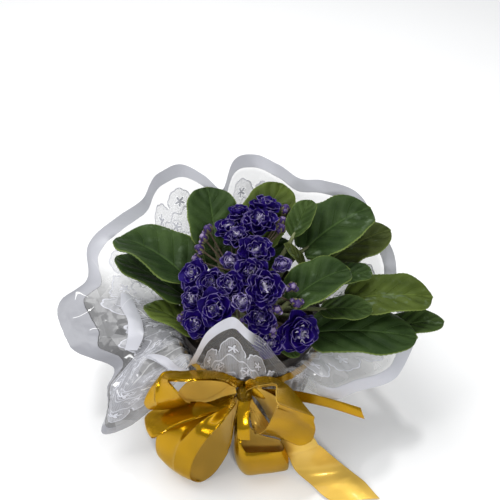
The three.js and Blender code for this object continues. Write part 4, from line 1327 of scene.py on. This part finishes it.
class VIOLET_OT_blooms(bpy.types.Operator):
    """Build every bloom from copies of a few petals."""

    bl_idname = "violet.blooms"
    bl_label = "Blooms"

    # How far each kind of petal is cupped and frilled, and how many waves its frill has
    PETALS = {
        "outer": (0.26, 0.030, 1.2),
        "inner": (0.36, 0.040, 1.4),
        "frilled": (0.38, 0.055, 1.5),
        "heart": (0.55, 0.120, 2.2),
        "half": (0.42, 0.045, 1.4),
    }

    def execute(self, context):
        settings = context.scene.violet_plant
        deep, edge = settings.petal_deep, settings.petal_edge
        looks = {
            "outer": (deep, tint(deep, 3.2)[:3], edge, 0.972),
            "inner": (tint(deep, 1.3)[:3], tint(deep, 3.8)[:3], edge, 0.965),
            "frilled": (deep, tint(deep, 3.0)[:3], edge, 0.955),
            "heart": ((0.016, 0.008, 0.11), (0.10, 0.07, 0.24), (0.78, 0.74, 0.84), 0.80),
            "half": ((0.022, 0.010, 0.13), (0.09, 0.055, 0.26), (0.42, 0.36, 0.58), 0.88),
        }
        finishes = {kind: petal(f"petal_{kind}", *look) for kind, look in looks.items()}
        calyx_green = hairy("calyx", (0.085, 0.065, 0.030), (0.28, 0.26, 0.14))
        dice = random.Random(SEEDS["blooms"])
        templates = {}
        for kind, (cup, frill, waves) in self.PETALS.items():
            templates[kind] = []
            for k in range(3):
                points, mapping = petal_points(dice, cup, frill, waves)
                template = grid_piece(f"petal_{kind}_{k}", points * PETAL_MM, mapping)
                paint(template, finishes[kind])
                templates[kind].append(template)
        sepal = self.sepal(calyx_green)
        for name, spec in FLOWERS.items():
            self.bloom(name, spec, templates, sepal, settings, dice)
        discard([t for kind in templates.values() for t in kind] + [sepal])
        return {"FINISHED"}

    def sepal(self, finish):
        """A narrow pointed sepal, 10 mm long, growing along +Y."""
        s, t = shares(4, 5)
        half = 1.5 * np.sin(math.pi * (0.22 + 0.76 * t)) ** 0.8
        points = table(s * half, 10 * t, 1.2 * t**2 + 0.4 * s**2)
        piece = grid_piece("sepal", points, table((s + 1) / 2, t))
        paint(piece, finish)
        return piece

    def bloom(self, name, spec, templates, sepal, settings, dice):
        """One bloom: its whorls of petals, from the outside in, over five sepals."""
        at = np.array(spec.at, float)
        radius = spec.wide / 2 * settings.bloom_spread
        stand = turn_to(unit(at - FLOWER_FOCUS), at, dice.uniform(0, 6))
        petals = []
        for count, long, wide, tilt, height, kind in WHORLS[spec.kind]:
            start = dice.uniform(0, 6)
            for k in range(count):
                turn = start + 2 * math.pi * (k + dice.uniform(-0.22, 0.22)) / count
                lean = math.radians(tilt + dice.uniform(-10, 10))
                size = dice.uniform(0.86, 1.08) * radius / PETAL_MM
                matrix = (
                    stand
                    @ Matrix.Translation((0, 0, height * MM))
                    @ Matrix.Rotation(turn, 4, "Z")
                    @ Matrix.Translation((0, 0.05 * radius * MM, 0))
                    @ Matrix.Rotation(lean, 4, "X")
                    @ Matrix.Rotation(dice.uniform(-0.15, 0.15), 4, "Y")
                    @ Matrix.Diagonal((size * wide, size * long, size, 1))
                )
                petals.append(copied(dice.choice(templates[kind]), matrix))
        for k in range(5):
            matrix = (
                stand
                @ Matrix.Translation((0, 0, (0.6 - BLOOM_BACK) * MM))
                @ Matrix.Rotation(2 * math.pi * k / 5, 4, "Z")
                @ Matrix.Rotation(math.radians(22), 4, "X")
                @ Matrix.Diagonal((0.9, 0.55, 0.9, 1))
            )
            petals.append(copied(sepal, matrix))
        bloom = join(name + "_bloom", petals)
        modify(bloom, "SOLIDIFY", thickness=settings.petal_thick, offset=0)
        smooth(bloom, 80)
        seat(bloom, "pale_petal" if spec.kind == "half" else "petal", name)


# Flower stalks and buds

BUD_R = 2.5
CLUSTER_BUD_SIZES = (3.3, 2.5, 2.1)


class VIOLET_OT_stalks(bpy.types.Operator):
    """Build the flower stalks, their pedicels and their buds."""

    bl_idname = "violet.stalks"
    bl_label = "Flower stalks"

    def execute(self, context):
        stem = hairy("flower_stem", (0.050, 0.032, 0.018), (0.20, 0.17, 0.10))
        green = hairy("bud_green", (0.085, 0.075, 0.035), (0.36, 0.34, 0.24))
        look = ((0.030, 0.014, 0.10), (0.11, 0.07, 0.20), (0.36, 0.29, 0.44), 0.80)
        closed = petal("bud_petal", *look)
        bud = self.bud(green, closed)
        dice = random.Random(SEEDS["buds"])
        for name, spec in STALKS.items():
            fork = np.array(spec.fork, float)
            foot = polar(*spec.foot, CROWN_TOP_Z - 0.5)
            rise = foot + UP * 4.5
            trunk = spline([foot, rise, fork, fork + unit(fork - rise)], np.linspace(0, 1, 26))
            runs = [(trunk, np.linspace(1.35, 1.05, 26))]
            ends = [(FLOWERS[flower].at, BLOOM_BACK - 0.4) for flower in spec.flowers]
            ends += [(place, 2.0) for place in spec.buds]
            for place, back in ends:
                place = np.array(place, float)
                heading = unit(place - FLOWER_FOCUS)
                end = place - heading * back
                mid = fork + (end - fork) * 0.55 - heading * 3
                run = spline([fork, mid, end], np.linspace(0, 1, 14))
                runs.append((run, [*np.linspace(0.85, 0.7, 12), 0.85, 1.0]))
            stalk = tube("stem_" + name, runs, sides=3)
            paint(stalk, stem)
            parts = [stalk]
            for place in spec.buds:
                parts += self.cluster(bud, np.array(place, float), dice)
            stalk = join("flower_stem_" + name, parts)
            smooth(stalk, 60)
            seat(stalk, "stalk", "flower_stalk_" + name)
        discard([bud])
        return {"FINISHED"}

    def cluster(self, bud, place, dice):
        """One large bud and two smaller ones that lean on it."""
        heading = unit(place - FLOWER_FOCUS)
        made = []
        start = dice.uniform(0, 6)
        for k, radius in enumerate(CLUSTER_BUD_SIZES):
            turn = turn_to(heading, (0, 0, 0), start + 2.3 * k)
            offset = np.array(turn @ Vector((3.4, 0, -1.2))) if k else np.zeros(3)
            lean = unit(heading + 0.18 * offset)
            matrix = turn_to(lean, place + offset, k * 1.3) @ Matrix.Scale(radius / BUD_R, 4)
            made.append(copied(bud, matrix))
        return made

    def bud(self, green, closed):
        """One closed bud about 5 mm across, its folded tip held by five sepals."""
        clear_selection()
        bpy.ops.mesh.primitive_uv_sphere_add(segments=20, ring_count=12, radius=BUD_R * MM)
        core = bpy.context.object
        for vertex in core.data.vertices:
            place = vertex.co / MM
            angle = math.atan2(place.y, place.x)
            level = place.z / BUD_R
            pinch = 1 + 0.13 * max(0, level) * math.cos(5 * angle + 2.2 * level)
            vertex.co.x *= pinch
            vertex.co.y *= pinch
            vertex.co.z *= 1.25 if level > 0 else 1.0
        paint(core, closed)
        s, t = shares(4, 6)
        half = 1.25 * np.sin(math.pi * (0.25 + 0.73 * t)) ** 0.8
        rise = math.pi * (-0.5 + 0.72 * t)
        reach = 2.75 * np.cos(rise) + 0.15
        points = table(s * half, reach - 0.25 * s**2, 2.75 * np.sin(rise))
        sepal = grid_piece("bud_sepal", points, table((s + 1) / 2, t))
        paint(sepal, green)
        modify(sepal, "SOLIDIFY", thickness=0.35 * MM, offset=0)
        sepals = [copied(sepal, Matrix.Rotation(2 * math.pi * k / 5, 4, "Z")) for k in range(5)]
        discard([sepal])
        return join("bud", [core, *sepals])


# Wrap

WRAP_COLUMNS = 540
WALL_ROWS = 34
FLARE_ROWS = 62
# Where the film's rows lie under the pot, as shares of the foot's radius
FOOT_SHARES = (0, 0.35, 0.7, 0.93)
FOOT_Z = 0.15
WRAP_SEAM_DEG = 268
LACE_FIRST_MM = 33
# Where the film is crumpled most, as (share, degrees, reach)
CRUMPLED_LEFT = (1.3, 205, 32)
CRUMPLED_FRONT = (0.5, 262, 30)
# Where the border band shows broader and slimmer than it's printed
BROAD_BAND_DEG = 186
SLIM_BAND_DEG = 213
# Where the collar is gathered closely and painted grey as shade, as (share, degrees, reach, power)
GATHERED_AND_SHADED = {
    "left": (1, 195, 31, 6),
    "right": (0.5, 320, 26, 4),
    "back": (0.3, 82, 26, 4),
    "back_right": (0.32, 28, 26, 4),
}
# How much the inside of the collar is painted grey as shade
INNER_SHADE = 0.36
# Where its border is turned under, as (degrees, reach, power)
TURNED_UNDER = [(291, 21, 8), (221, 7, 6)]


def rim_at(degrees):
    """Radius and height of the collar's rim at these angles."""
    rim = np.array(WRAP_RIM, float)
    rim = np.vstack([rim[-3:] - (360, 0, 0), rim, rim[:3] + (360, 0, 0)])
    place = (degrees - WRAP_RIM[0][0]) % 360 + WRAP_RIM[0][0]
    return [through(place, rim[:, 0], rim[:, k]) for k in (1, 2)]


def crinkled(points, columns_deg, amount):
    """Moves the film's points to and fro in sharp-edged crumples."""
    noise.seed_set(SEEDS["crumples"])
    across, along = points.shape[:2]
    left = near(columns_deg, *CRUMPLED_LEFT[1:])
    front = near(columns_deg, *CRUMPLED_FRONT[1:])
    weight = 0.35 + CRUMPLED_LEFT[0] * left + CRUMPLED_FRONT[0] * front
    for i in range(across):
        radial = Vector(polar(columns_deg[i], 1, 0.5))
        for j in range(6, along):
            place = Vector(points[i, j])
            low = noise.noise(place * 0.04)
            bent = place + noise.noise_vector(place * 0.05) * 7
            sharp = 2.2 * noise.voronoi(bent * 0.042)[0][0] - 1
            fine = 1 - abs(noise.noise(place * 0.17 + Vector((2, 9, 4)))) * 2.2
            rim_calm = 1 - 0.75 * max(0.0, (j - along + 14) / 14) * (1 - left[i])
            move = (1.1 * low + 0.9 * sharp + 0.22 * fine) * weight[i] * amount * rim_calm
            points[i, j] += np.array(radial) * move * min(1.0, j / 20)
    return points


def wrap_points(crumple_mm):
    """The film as a table of points from the middle of its foot to its rim."""
    degrees = WRAP_SEAM_DEG + np.linspace(0, 360, WRAP_COLUMNS + 1)
    turn = np.radians(degrees)
    rim_r, rim_z = rim_at(degrees)
    drift = 0.9 * np.sin(3 * turn + 1) + 0.6 * np.sin(5 * turn + 2)
    wave = np.cos(FINE_PLEATS * turn + drift)
    fine = np.sign(wave) * np.abs(wave) ** 0.7
    broad = np.cos(BROAD_PLEATS * turn)
    radii, heights = [], []
    wall_z, wall_r, pleat_depths = zip(*WRAP_WALL)
    for share in FOOT_SHARES:
        radii.append(np.full(len(turn), float(wall_r[0]) * share))
        heights.append(np.full(len(turn), FOOT_Z))
    for z in np.linspace(FOOT_Z, wall_z[-1], WALL_ROWS):
        depth = np.interp(z, wall_z, pleat_depths)
        radii.append(through([z], wall_z, wall_r)[0] + depth * fine)
        heights.append(np.full(len(turn), z))
    r0, z0 = wall_r[-1], wall_z[-1]
    run, climb = rim_r - r0, rim_z - z0
    held = WRAP_LEAVES_UP - WRAP_HANGING_UP * np.minimum(0, climb)
    out = [r0 + share * run for share in WRAP_FLARE_OUT]
    up = [z0 + held + WRAP_FLARE_UP[0] * climb, z0 + WRAP_FLARE_UP[1] * climb]
    for share in np.linspace(0, 1, FLARE_ROWS + 1)[1:]:
        r = bezier((r0, *out, rim_r), share) + (0.8 + 1.4 * share) * broad
        radii.append(r + 1.7 * (1 - share) ** 1.5 * fine)
        heights.append(bezier((z0, *up, rim_z), share))
    radii, heights = np.array(radii).T, np.array(heights).T
    x_share, y_share = np.cos(turn)[:, None], np.sin(turn)[:, None]
    points = table(radii * x_share, radii * y_share, heights)
    points = crinkled(points, degrees % 360, crumple_mm)
    points[-1] = points[0]
    return points, degrees % 360


def smoothed(rows, reach):
    """Rows round a closed ring, each averaged with its neighbours up to reach away."""
    ring = rows[:-1]
    total = sum(np.roll(ring, shift, axis=0) for shift in range(-reach, reach + 1))
    ring = total / (2 * reach + 1)
    return np.concatenate([ring, ring[:1]])


def wrap_mapping(points, columns_deg, lace_mm):
    """The film's UV table and the period of its lace. U counts periods round the first row of
    lace, V is the way down from the rim in decimetres."""
    climbs = np.linalg.norm(np.diff(points, axis=1), axis=2)
    total = np.cumsum(climbs[:, ::-1], axis=1)[:, ::-1]
    down = smoothed(np.concatenate([total, np.zeros((len(points), 1))], axis=1), 4)
    first = np.argmin(np.abs(down - LACE_FIRST_MM), axis=1)
    row = smoothed(points[np.arange(len(points)), first], 6)
    steps = np.linalg.norm(np.diff(row, axis=0), axis=1)
    along = np.concatenate([[0], np.cumsum(steps)])
    count = round(along[-1] / lace_mm)
    around = (along / along[-1] * count)[:, None]
    broad = 0.55 * near(columns_deg, BROAD_BAND_DEG, 11, 4)
    slim = 0.7 * near(columns_deg, SLIM_BAND_DEG, 9)
    down = down * (1 - broad + slim)[:, None]
    return table(around, down / 100), along[-1] / count


class VIOLET_OT_wrap(bpy.types.Operator):
    """Build the gathered lace-printed film."""

    bl_idname = "violet.wrap"
    bl_label = "Lace wrap"

    def execute(self, context):
        settings = context.scene.violet_wrap
        points, columns_deg = wrap_points(settings.crumple / MM)
        mapping, period = wrap_mapping(points, columns_deg, settings.lace / MM)
        film = grid_piece("lace_wrap_film", points, mapping)
        weld(film)
        smooth(film, 180)
        self.veil_and_shade(film)
        look = printed_film(
            settings.print_color, settings.clear_alpha, settings.band / MM, period
        )
        paint(film, look)
        seat(film, "film", "lace_wrap")
        self.folds(look)
        return {"FINISHED"}

    def veil_and_shade(self, film):
        """Marks how closely the film is gathered, which is most at the neck and at the left, and
        with it how grey the film is painted as shade, which also lies inside the collar; and where
        its border is turned under: right of the front lobe and below the left one."""
        mesh = film.data
        depths = np.zeros(len(mesh.vertices))
        for loop, place in zip(mesh.loops, mesh.uv_layers[0].data):
            depths[loop.vertex_index] = place.uv[1] * 100
        x, y = np.array([vertex.co[:2] for vertex in mesh.vertices]).T
        degrees = np.degrees(np.arctan2(y, x)) % 360
        gathered_and_shaded = {
            side: share * near(degrees, *window) for side, (share, *window) in GATHERED_AND_SHADED.items()
        }
        outer = np.maximum(gathered_and_shaded["right"], gathered_and_shaded["back"] + gathered_and_shaded["back_right"])
        outer = outer * ramp(depths, 10, 16)
        # Painted shade inside the collar, fading out down the wall
        inner = INNER_SHADE * ramp(depths, 30, 75) * (1 - 0.75 * ramp(depths, *WALL_SPAN_MM))
        self.mark(mesh, "veil_and_shade", np.maximum.reduce([gathered_and_shaded["left"], outer, inner]))
        self.mark(mesh, "bare", np.maximum(*(near(degrees, *row) for row in TURNED_UNDER)))

    def mark(self, mesh, name, values):
        """Gives every point of the mesh a number under that name."""
        mesh.attributes.new(name, "FLOAT", "POINT").data.foreach_set("value", values)

    def folds(self, look):
        """Edges of the film that are folded up over it and show their printed band."""
        for name, rows in FILM_FOLDS.items():
            points, mapping, length = ribbon_points(rows, FOLD_WIDE, 0)
            mapping = mapping[..., ::-1] * FOLD_PRINT
            fold = grid_piece(name, points[::4], mapping[::4])
            smooth(fold, 180)
            # The folds take some of the painted grey shade
            self.mark(fold.data, "veil_and_shade", [FOLD_VEIL_AND_SHADE] * len(fold.data.vertices))
            paint(fold, look)
            seat(fold, "film")
            length * MM


# Bow

RIBBON_ALONG = 110
RIBBON_ACROSS = 48
LAYER_MM = 0.7
PLEATS = 5
PLEATED_SHARE = 0.42
CLOTH_SHOWN = 0.73
# The band round the neck: its radius, its lower edge, and the ribbon widths that its weave
# counts across it and to a radian
BAND_R = 59.2
BAND_Z = 70
BAND_WEAVE = (0.24, 59 / 38)


def cloth_kept(width, steps, flat_width):
    """The share of its flat width that a ribbon keeps, folded under, where it is narrow."""
    low, high = 0.45, 1.0
    for _ in range(30):
        share = (low + high) / 2
        shown = np.average(np.maximum(width, share * flat_width), weights=steps)
        if shown < CLOTH_SHOWN * flat_width:
            low = share
        else:
            high = share
    return high


def folded_under(cloth, width, kept):
    """Where cloth lies that is broader than its strand: its share of the strand's width, and
    its layer, when the spare is folded back under and forth again."""
    cloth = cloth * np.maximum(kept, width)
    spare = np.maximum(1e-6, (kept - width) / 2)
    back = np.clip(cloth - width, 0, spare)
    forth = np.clip(cloth - width - spare, 0, spare)
    place = np.abs(np.minimum(cloth, width) - back + forth)
    return place / width, (back + forth) / spare * (kept > width)


def ribbon_points(rows, flat_width, skew, crease=None):
    """The ribbon's middle surface, its UV table and its length in millimetres."""
    t = np.linspace(0, 1, RIBBON_ALONG + 1)
    left, right = (spline([row[k] for row in rows], t) for k in (0, 1))
    centre = (left + right) / 2
    across = right - left
    slope = np.gradient(centre, axis=0)
    steps = np.linalg.norm(slope, axis=1)
    heading = unit(slope)
    normal = np.cross(heading, across)
    width = np.linalg.norm(normal, axis=1)
    normal = unit(normal)
    length = np.linalg.norm(np.diff(centre, axis=0), axis=1).sum()
    cloth = np.linspace(0, 1, RIBBON_ACROSS + 1)[:, None]
    kept = cloth_kept(width, steps, flat_width) * flat_width
    place, layer = folded_under(cloth, width[None], kept)
    s = 2 * place - 1
    pinched = np.clip(1 - width / (PLEATED_SHARE * flat_width), 0, 1)
    pleats = 0.9 * pinched * np.cos(PLEATS * math.pi * s + 1.5 * np.sin(2.4 * t))
    swell = 0.35 * np.sin(length / 34 * math.pi * t + 1.2 * s) * width / flat_width
    crown = 0.06 * width * (1 - s**2)
    ridge = 0
    if crease:
        direction, middle, reach, height, start, stop = crease
        line = place if direction == "along" else t[None]
        window = np.sin(math.pi * ramp(t, start, stop)) if start else 1
        ridge = height * np.exp(-np.abs(line - middle) / reach) * window
    end = ramp(t, 0.88, 1.0) ** 2
    points = (
        centre[None]
        + across[None] * (s / 2)[..., None]
        + normal[None] * (pleats + swell + crown + ridge - LAYER_MM * layer)[..., None]
        + heading[None] * (skew * s * end)[..., None]
    )
    return points, table(cloth, t[None, :] * length / flat_width), length


class VIOLET_OT_bow(bpy.types.Operator):
    """Build the bow's loops, tails, knot and the band round the neck."""

    bl_idname = "violet.bow"
    bl_label = "Ribbon bow"

    def execute(self, context):
        settings = context.scene.violet_bow
        gold = satin("gold_satin", settings.color, 0.75, 0.12)
        # The back colour is partly painted light, lifting the shaded insides of the loops
        pale = satin("gold_satin_back", settings.back_and_light_color, 0.15, 0.17)
        for name, rows in {**RIBBONS, **TIES}.items():
            narrow = name in TIES
            flat_width = settings.narrow if narrow else settings.wide
            points, mapping, length = ribbon_points(
                rows, flat_width / MM, CUT_SKEW.get(name, 0), CREASES.get(name)
            )
            ribbon = grid_piece(name + "_satin", points, mapping)
            paint(ribbon, *((gold, pale) if name in TURNED_OVER else (pale, gold)))
            modify(
                ribbon, "SOLIDIFY", thickness=settings.thick, offset=0, material_offset=1,
                material_offset_rim=1,
            )
            smooth(ribbon, 60)
            seat(ribbon, "ribbon", name)
            length * MM
            flat_width * length * MM
        # The knot is painted darker than the ribbon as painted shade
        shaded = [KNOT_SHADE * part for part in settings.color]
        self.knot(satin("gold_satin_knot_shaded", shaded, 0.5, 0.3))
        self.band(gold, settings)
        return {"FINISHED"}

    def knot(self, gold):
        """The pinched middle: gathers that run into a strip wound round them."""
        clear_selection()
        bpy.ops.mesh.primitive_uv_sphere_add(segments=64, ring_count=32, radius=1)
        knot = bpy.context.object
        knot.name = "knot_satin"
        for vertex in knot.data.vertices:
            x, y, z = vertex.co
            angle = math.atan2(z, x)
            gather = 0.07 * math.cos(KNOT_GATHERS * angle + 2 * y)
            ridge = 1 + gather + 0.05 * noise.noise(vertex.co * 3)
            belt = 1 - 0.16 * near(z, 0, 0.3)
            vertex.co = Vector(KNOT + KNOT_HALF * np.array([x * belt, y * belt, z]) * ridge) * MM
        smooth(knot, 70)
        paint(knot, gold)
        seat(knot, "ribbon", "bow_knot")

    def band(self, gold, settings):
        """The narrow strip that gathers the film round the neck."""
        turn = np.linspace(0, 2 * math.pi, 241)
        level = np.linspace(0, 1, 7)[:, None]
        radius = BAND_R + 0.35 * np.cos(FINE_PLEATS * turn)
        height = BAND_Z + 0.6 * np.sin(2 * turn) + level * settings.narrow / MM
        points = table(radius * np.cos(turn), radius * np.sin(turn), height)
        mapping = table(level * BAND_WEAVE[0], turn * BAND_WEAVE[1])
        band = grid_piece("tie_band_satin", points, mapping)
        weld(band)
        modify(band, "SOLIDIFY", thickness=settings.thick, offset=0)
        smooth(band, 60)
        paint(band, gold)
        seat(band, "ribbon", "tie_band")


# Stage

class VIOLET_OT_stage(bpy.types.Operator):
    """Build the floor, the lights and the camera."""

    bl_idname = "violet.stage"
    bl_label = "Stage"

    # The place of each lamp, its width, and its share of the key light's power
    LIGHTS = {
        "key": ((-0.5, 0.3, 1.25), 1.1, 0.85),
        "front": ((0.3, -1.1, 0.9), 0.26, 0.5),
        "left": ((-1.1, -0.6, 0.63), 0.2, 0.24),
        "glint": ((0.25, 0.5, 1.3), 0.14, 0.32),
    }

    def execute(self, context):
        settings = context.scene.violet_stage
        clear_selection()
        bpy.ops.mesh.primitive_circle_add(
            vertices=128, radius=4, fill_type="NGON", location=(0, 0, -0.0004)
        )
        floor = bpy.context.object
        floor.name = "floor"
        paint(floor, plain_floor(settings.floor_color))
        for name, (place, size, share) in self.LIGHTS.items():
            lamp = bpy.data.lights.new(name, "AREA")
            lamp.shape = "DISK"
            lamp.size = size
            lamp.energy = settings.key_power * share
            light = bpy.data.objects.new(name, lamp)
            light.location = place
            aim = Vector((0, 0, 0.08)) - Vector(place)
            light.rotation_euler = aim.to_track_quat("-Z", "Y").to_euler()
            context.collection.objects.link(light)
        self.world(settings.sky)
        self.camera(context, settings.lens)
        return {"FINISHED"}

    def world(self, brightness):
        world = bpy.data.worlds.new("studio")
        world.use_nodes = True
        background = world.node_tree.nodes["Background"]
        background.inputs["Color"].default_value = (0.96, 0.98, 1.0, 1.0)
        background.inputs["Strength"].default_value = brightness
        bpy.context.scene.world = world

    def camera(self, context, lens):
        data = bpy.data.cameras.new("camera")
        data.lens = lens
        data.sensor_width = 36
        data.clip_start = 0.01
        camera = bpy.data.objects.new("camera", data)
        camera.location = CAMERA_AT
        camera.rotation_euler = (math.radians(90 - CAMERA_DOWN_DEG), 0, 0)
        context.collection.objects.link(camera)
        context.scene.camera = camera
        context.scene.view_settings.view_transform = "Standard"


class VIOLET_PT_panel(bpy.types.Panel):
    """Lists the builders and their settings."""

    bl_label = "Potted African Violet"
    bl_idname = "VIOLET_PT_panel"
    bl_space_type = "VIEW_3D"
    bl_region_type = "UI"
    bl_category = "Violet"

    def draw(self, context):
        layout = self.layout
        for operator in OPERATORS:
            layout.operator(operator.bl_idname)
        for group in SETTINGS:
            box = layout.box()
            for key in SETTINGS[group].__annotations__:
                box.prop(getattr(context.scene, group), key)


SETTINGS = {
    "violet_plant": VioletPlantSettings,
    "violet_wrap": VioletWrapSettings,
    "violet_bow": VioletBowSettings,
    "violet_stage": VioletStageSettings,
}
OPERATORS = (
    VIOLET_OT_stage,
    VIOLET_OT_pot,
    VIOLET_OT_soil,
    VIOLET_OT_crown,
    VIOLET_OT_leaves,
    VIOLET_OT_stalks,
    VIOLET_OT_blooms,
    VIOLET_OT_wrap,
    VIOLET_OT_bow,
)
CLASSES = (*SETTINGS.values(), *OPERATORS, VIOLET_PT_panel)


def register():
    for cls in CLASSES:
        bpy.utils.register_class(cls)
    for group, cls in SETTINGS.items():
        setattr(bpy.types.Scene, group, bpy.props.PointerProperty(type=cls))


def unregister():
    for group in SETTINGS:
        delattr(bpy.types.Scene, group)
    for cls in reversed(CLASSES):
        bpy.utils.unregister_class(cls)


def main():
    register()
    bpy.ops.violet.stage()
    bpy.ops.violet.pot()
    bpy.ops.violet.soil()
    bpy.ops.violet.crown()
    bpy.ops.violet.leaves()
    bpy.ops.violet.stalks()
    bpy.ops.violet.blooms()
    bpy.ops.violet.wrap()
    bpy.ops.violet.bow()
    clear_selection()


if __name__ == "__main__":
    main()
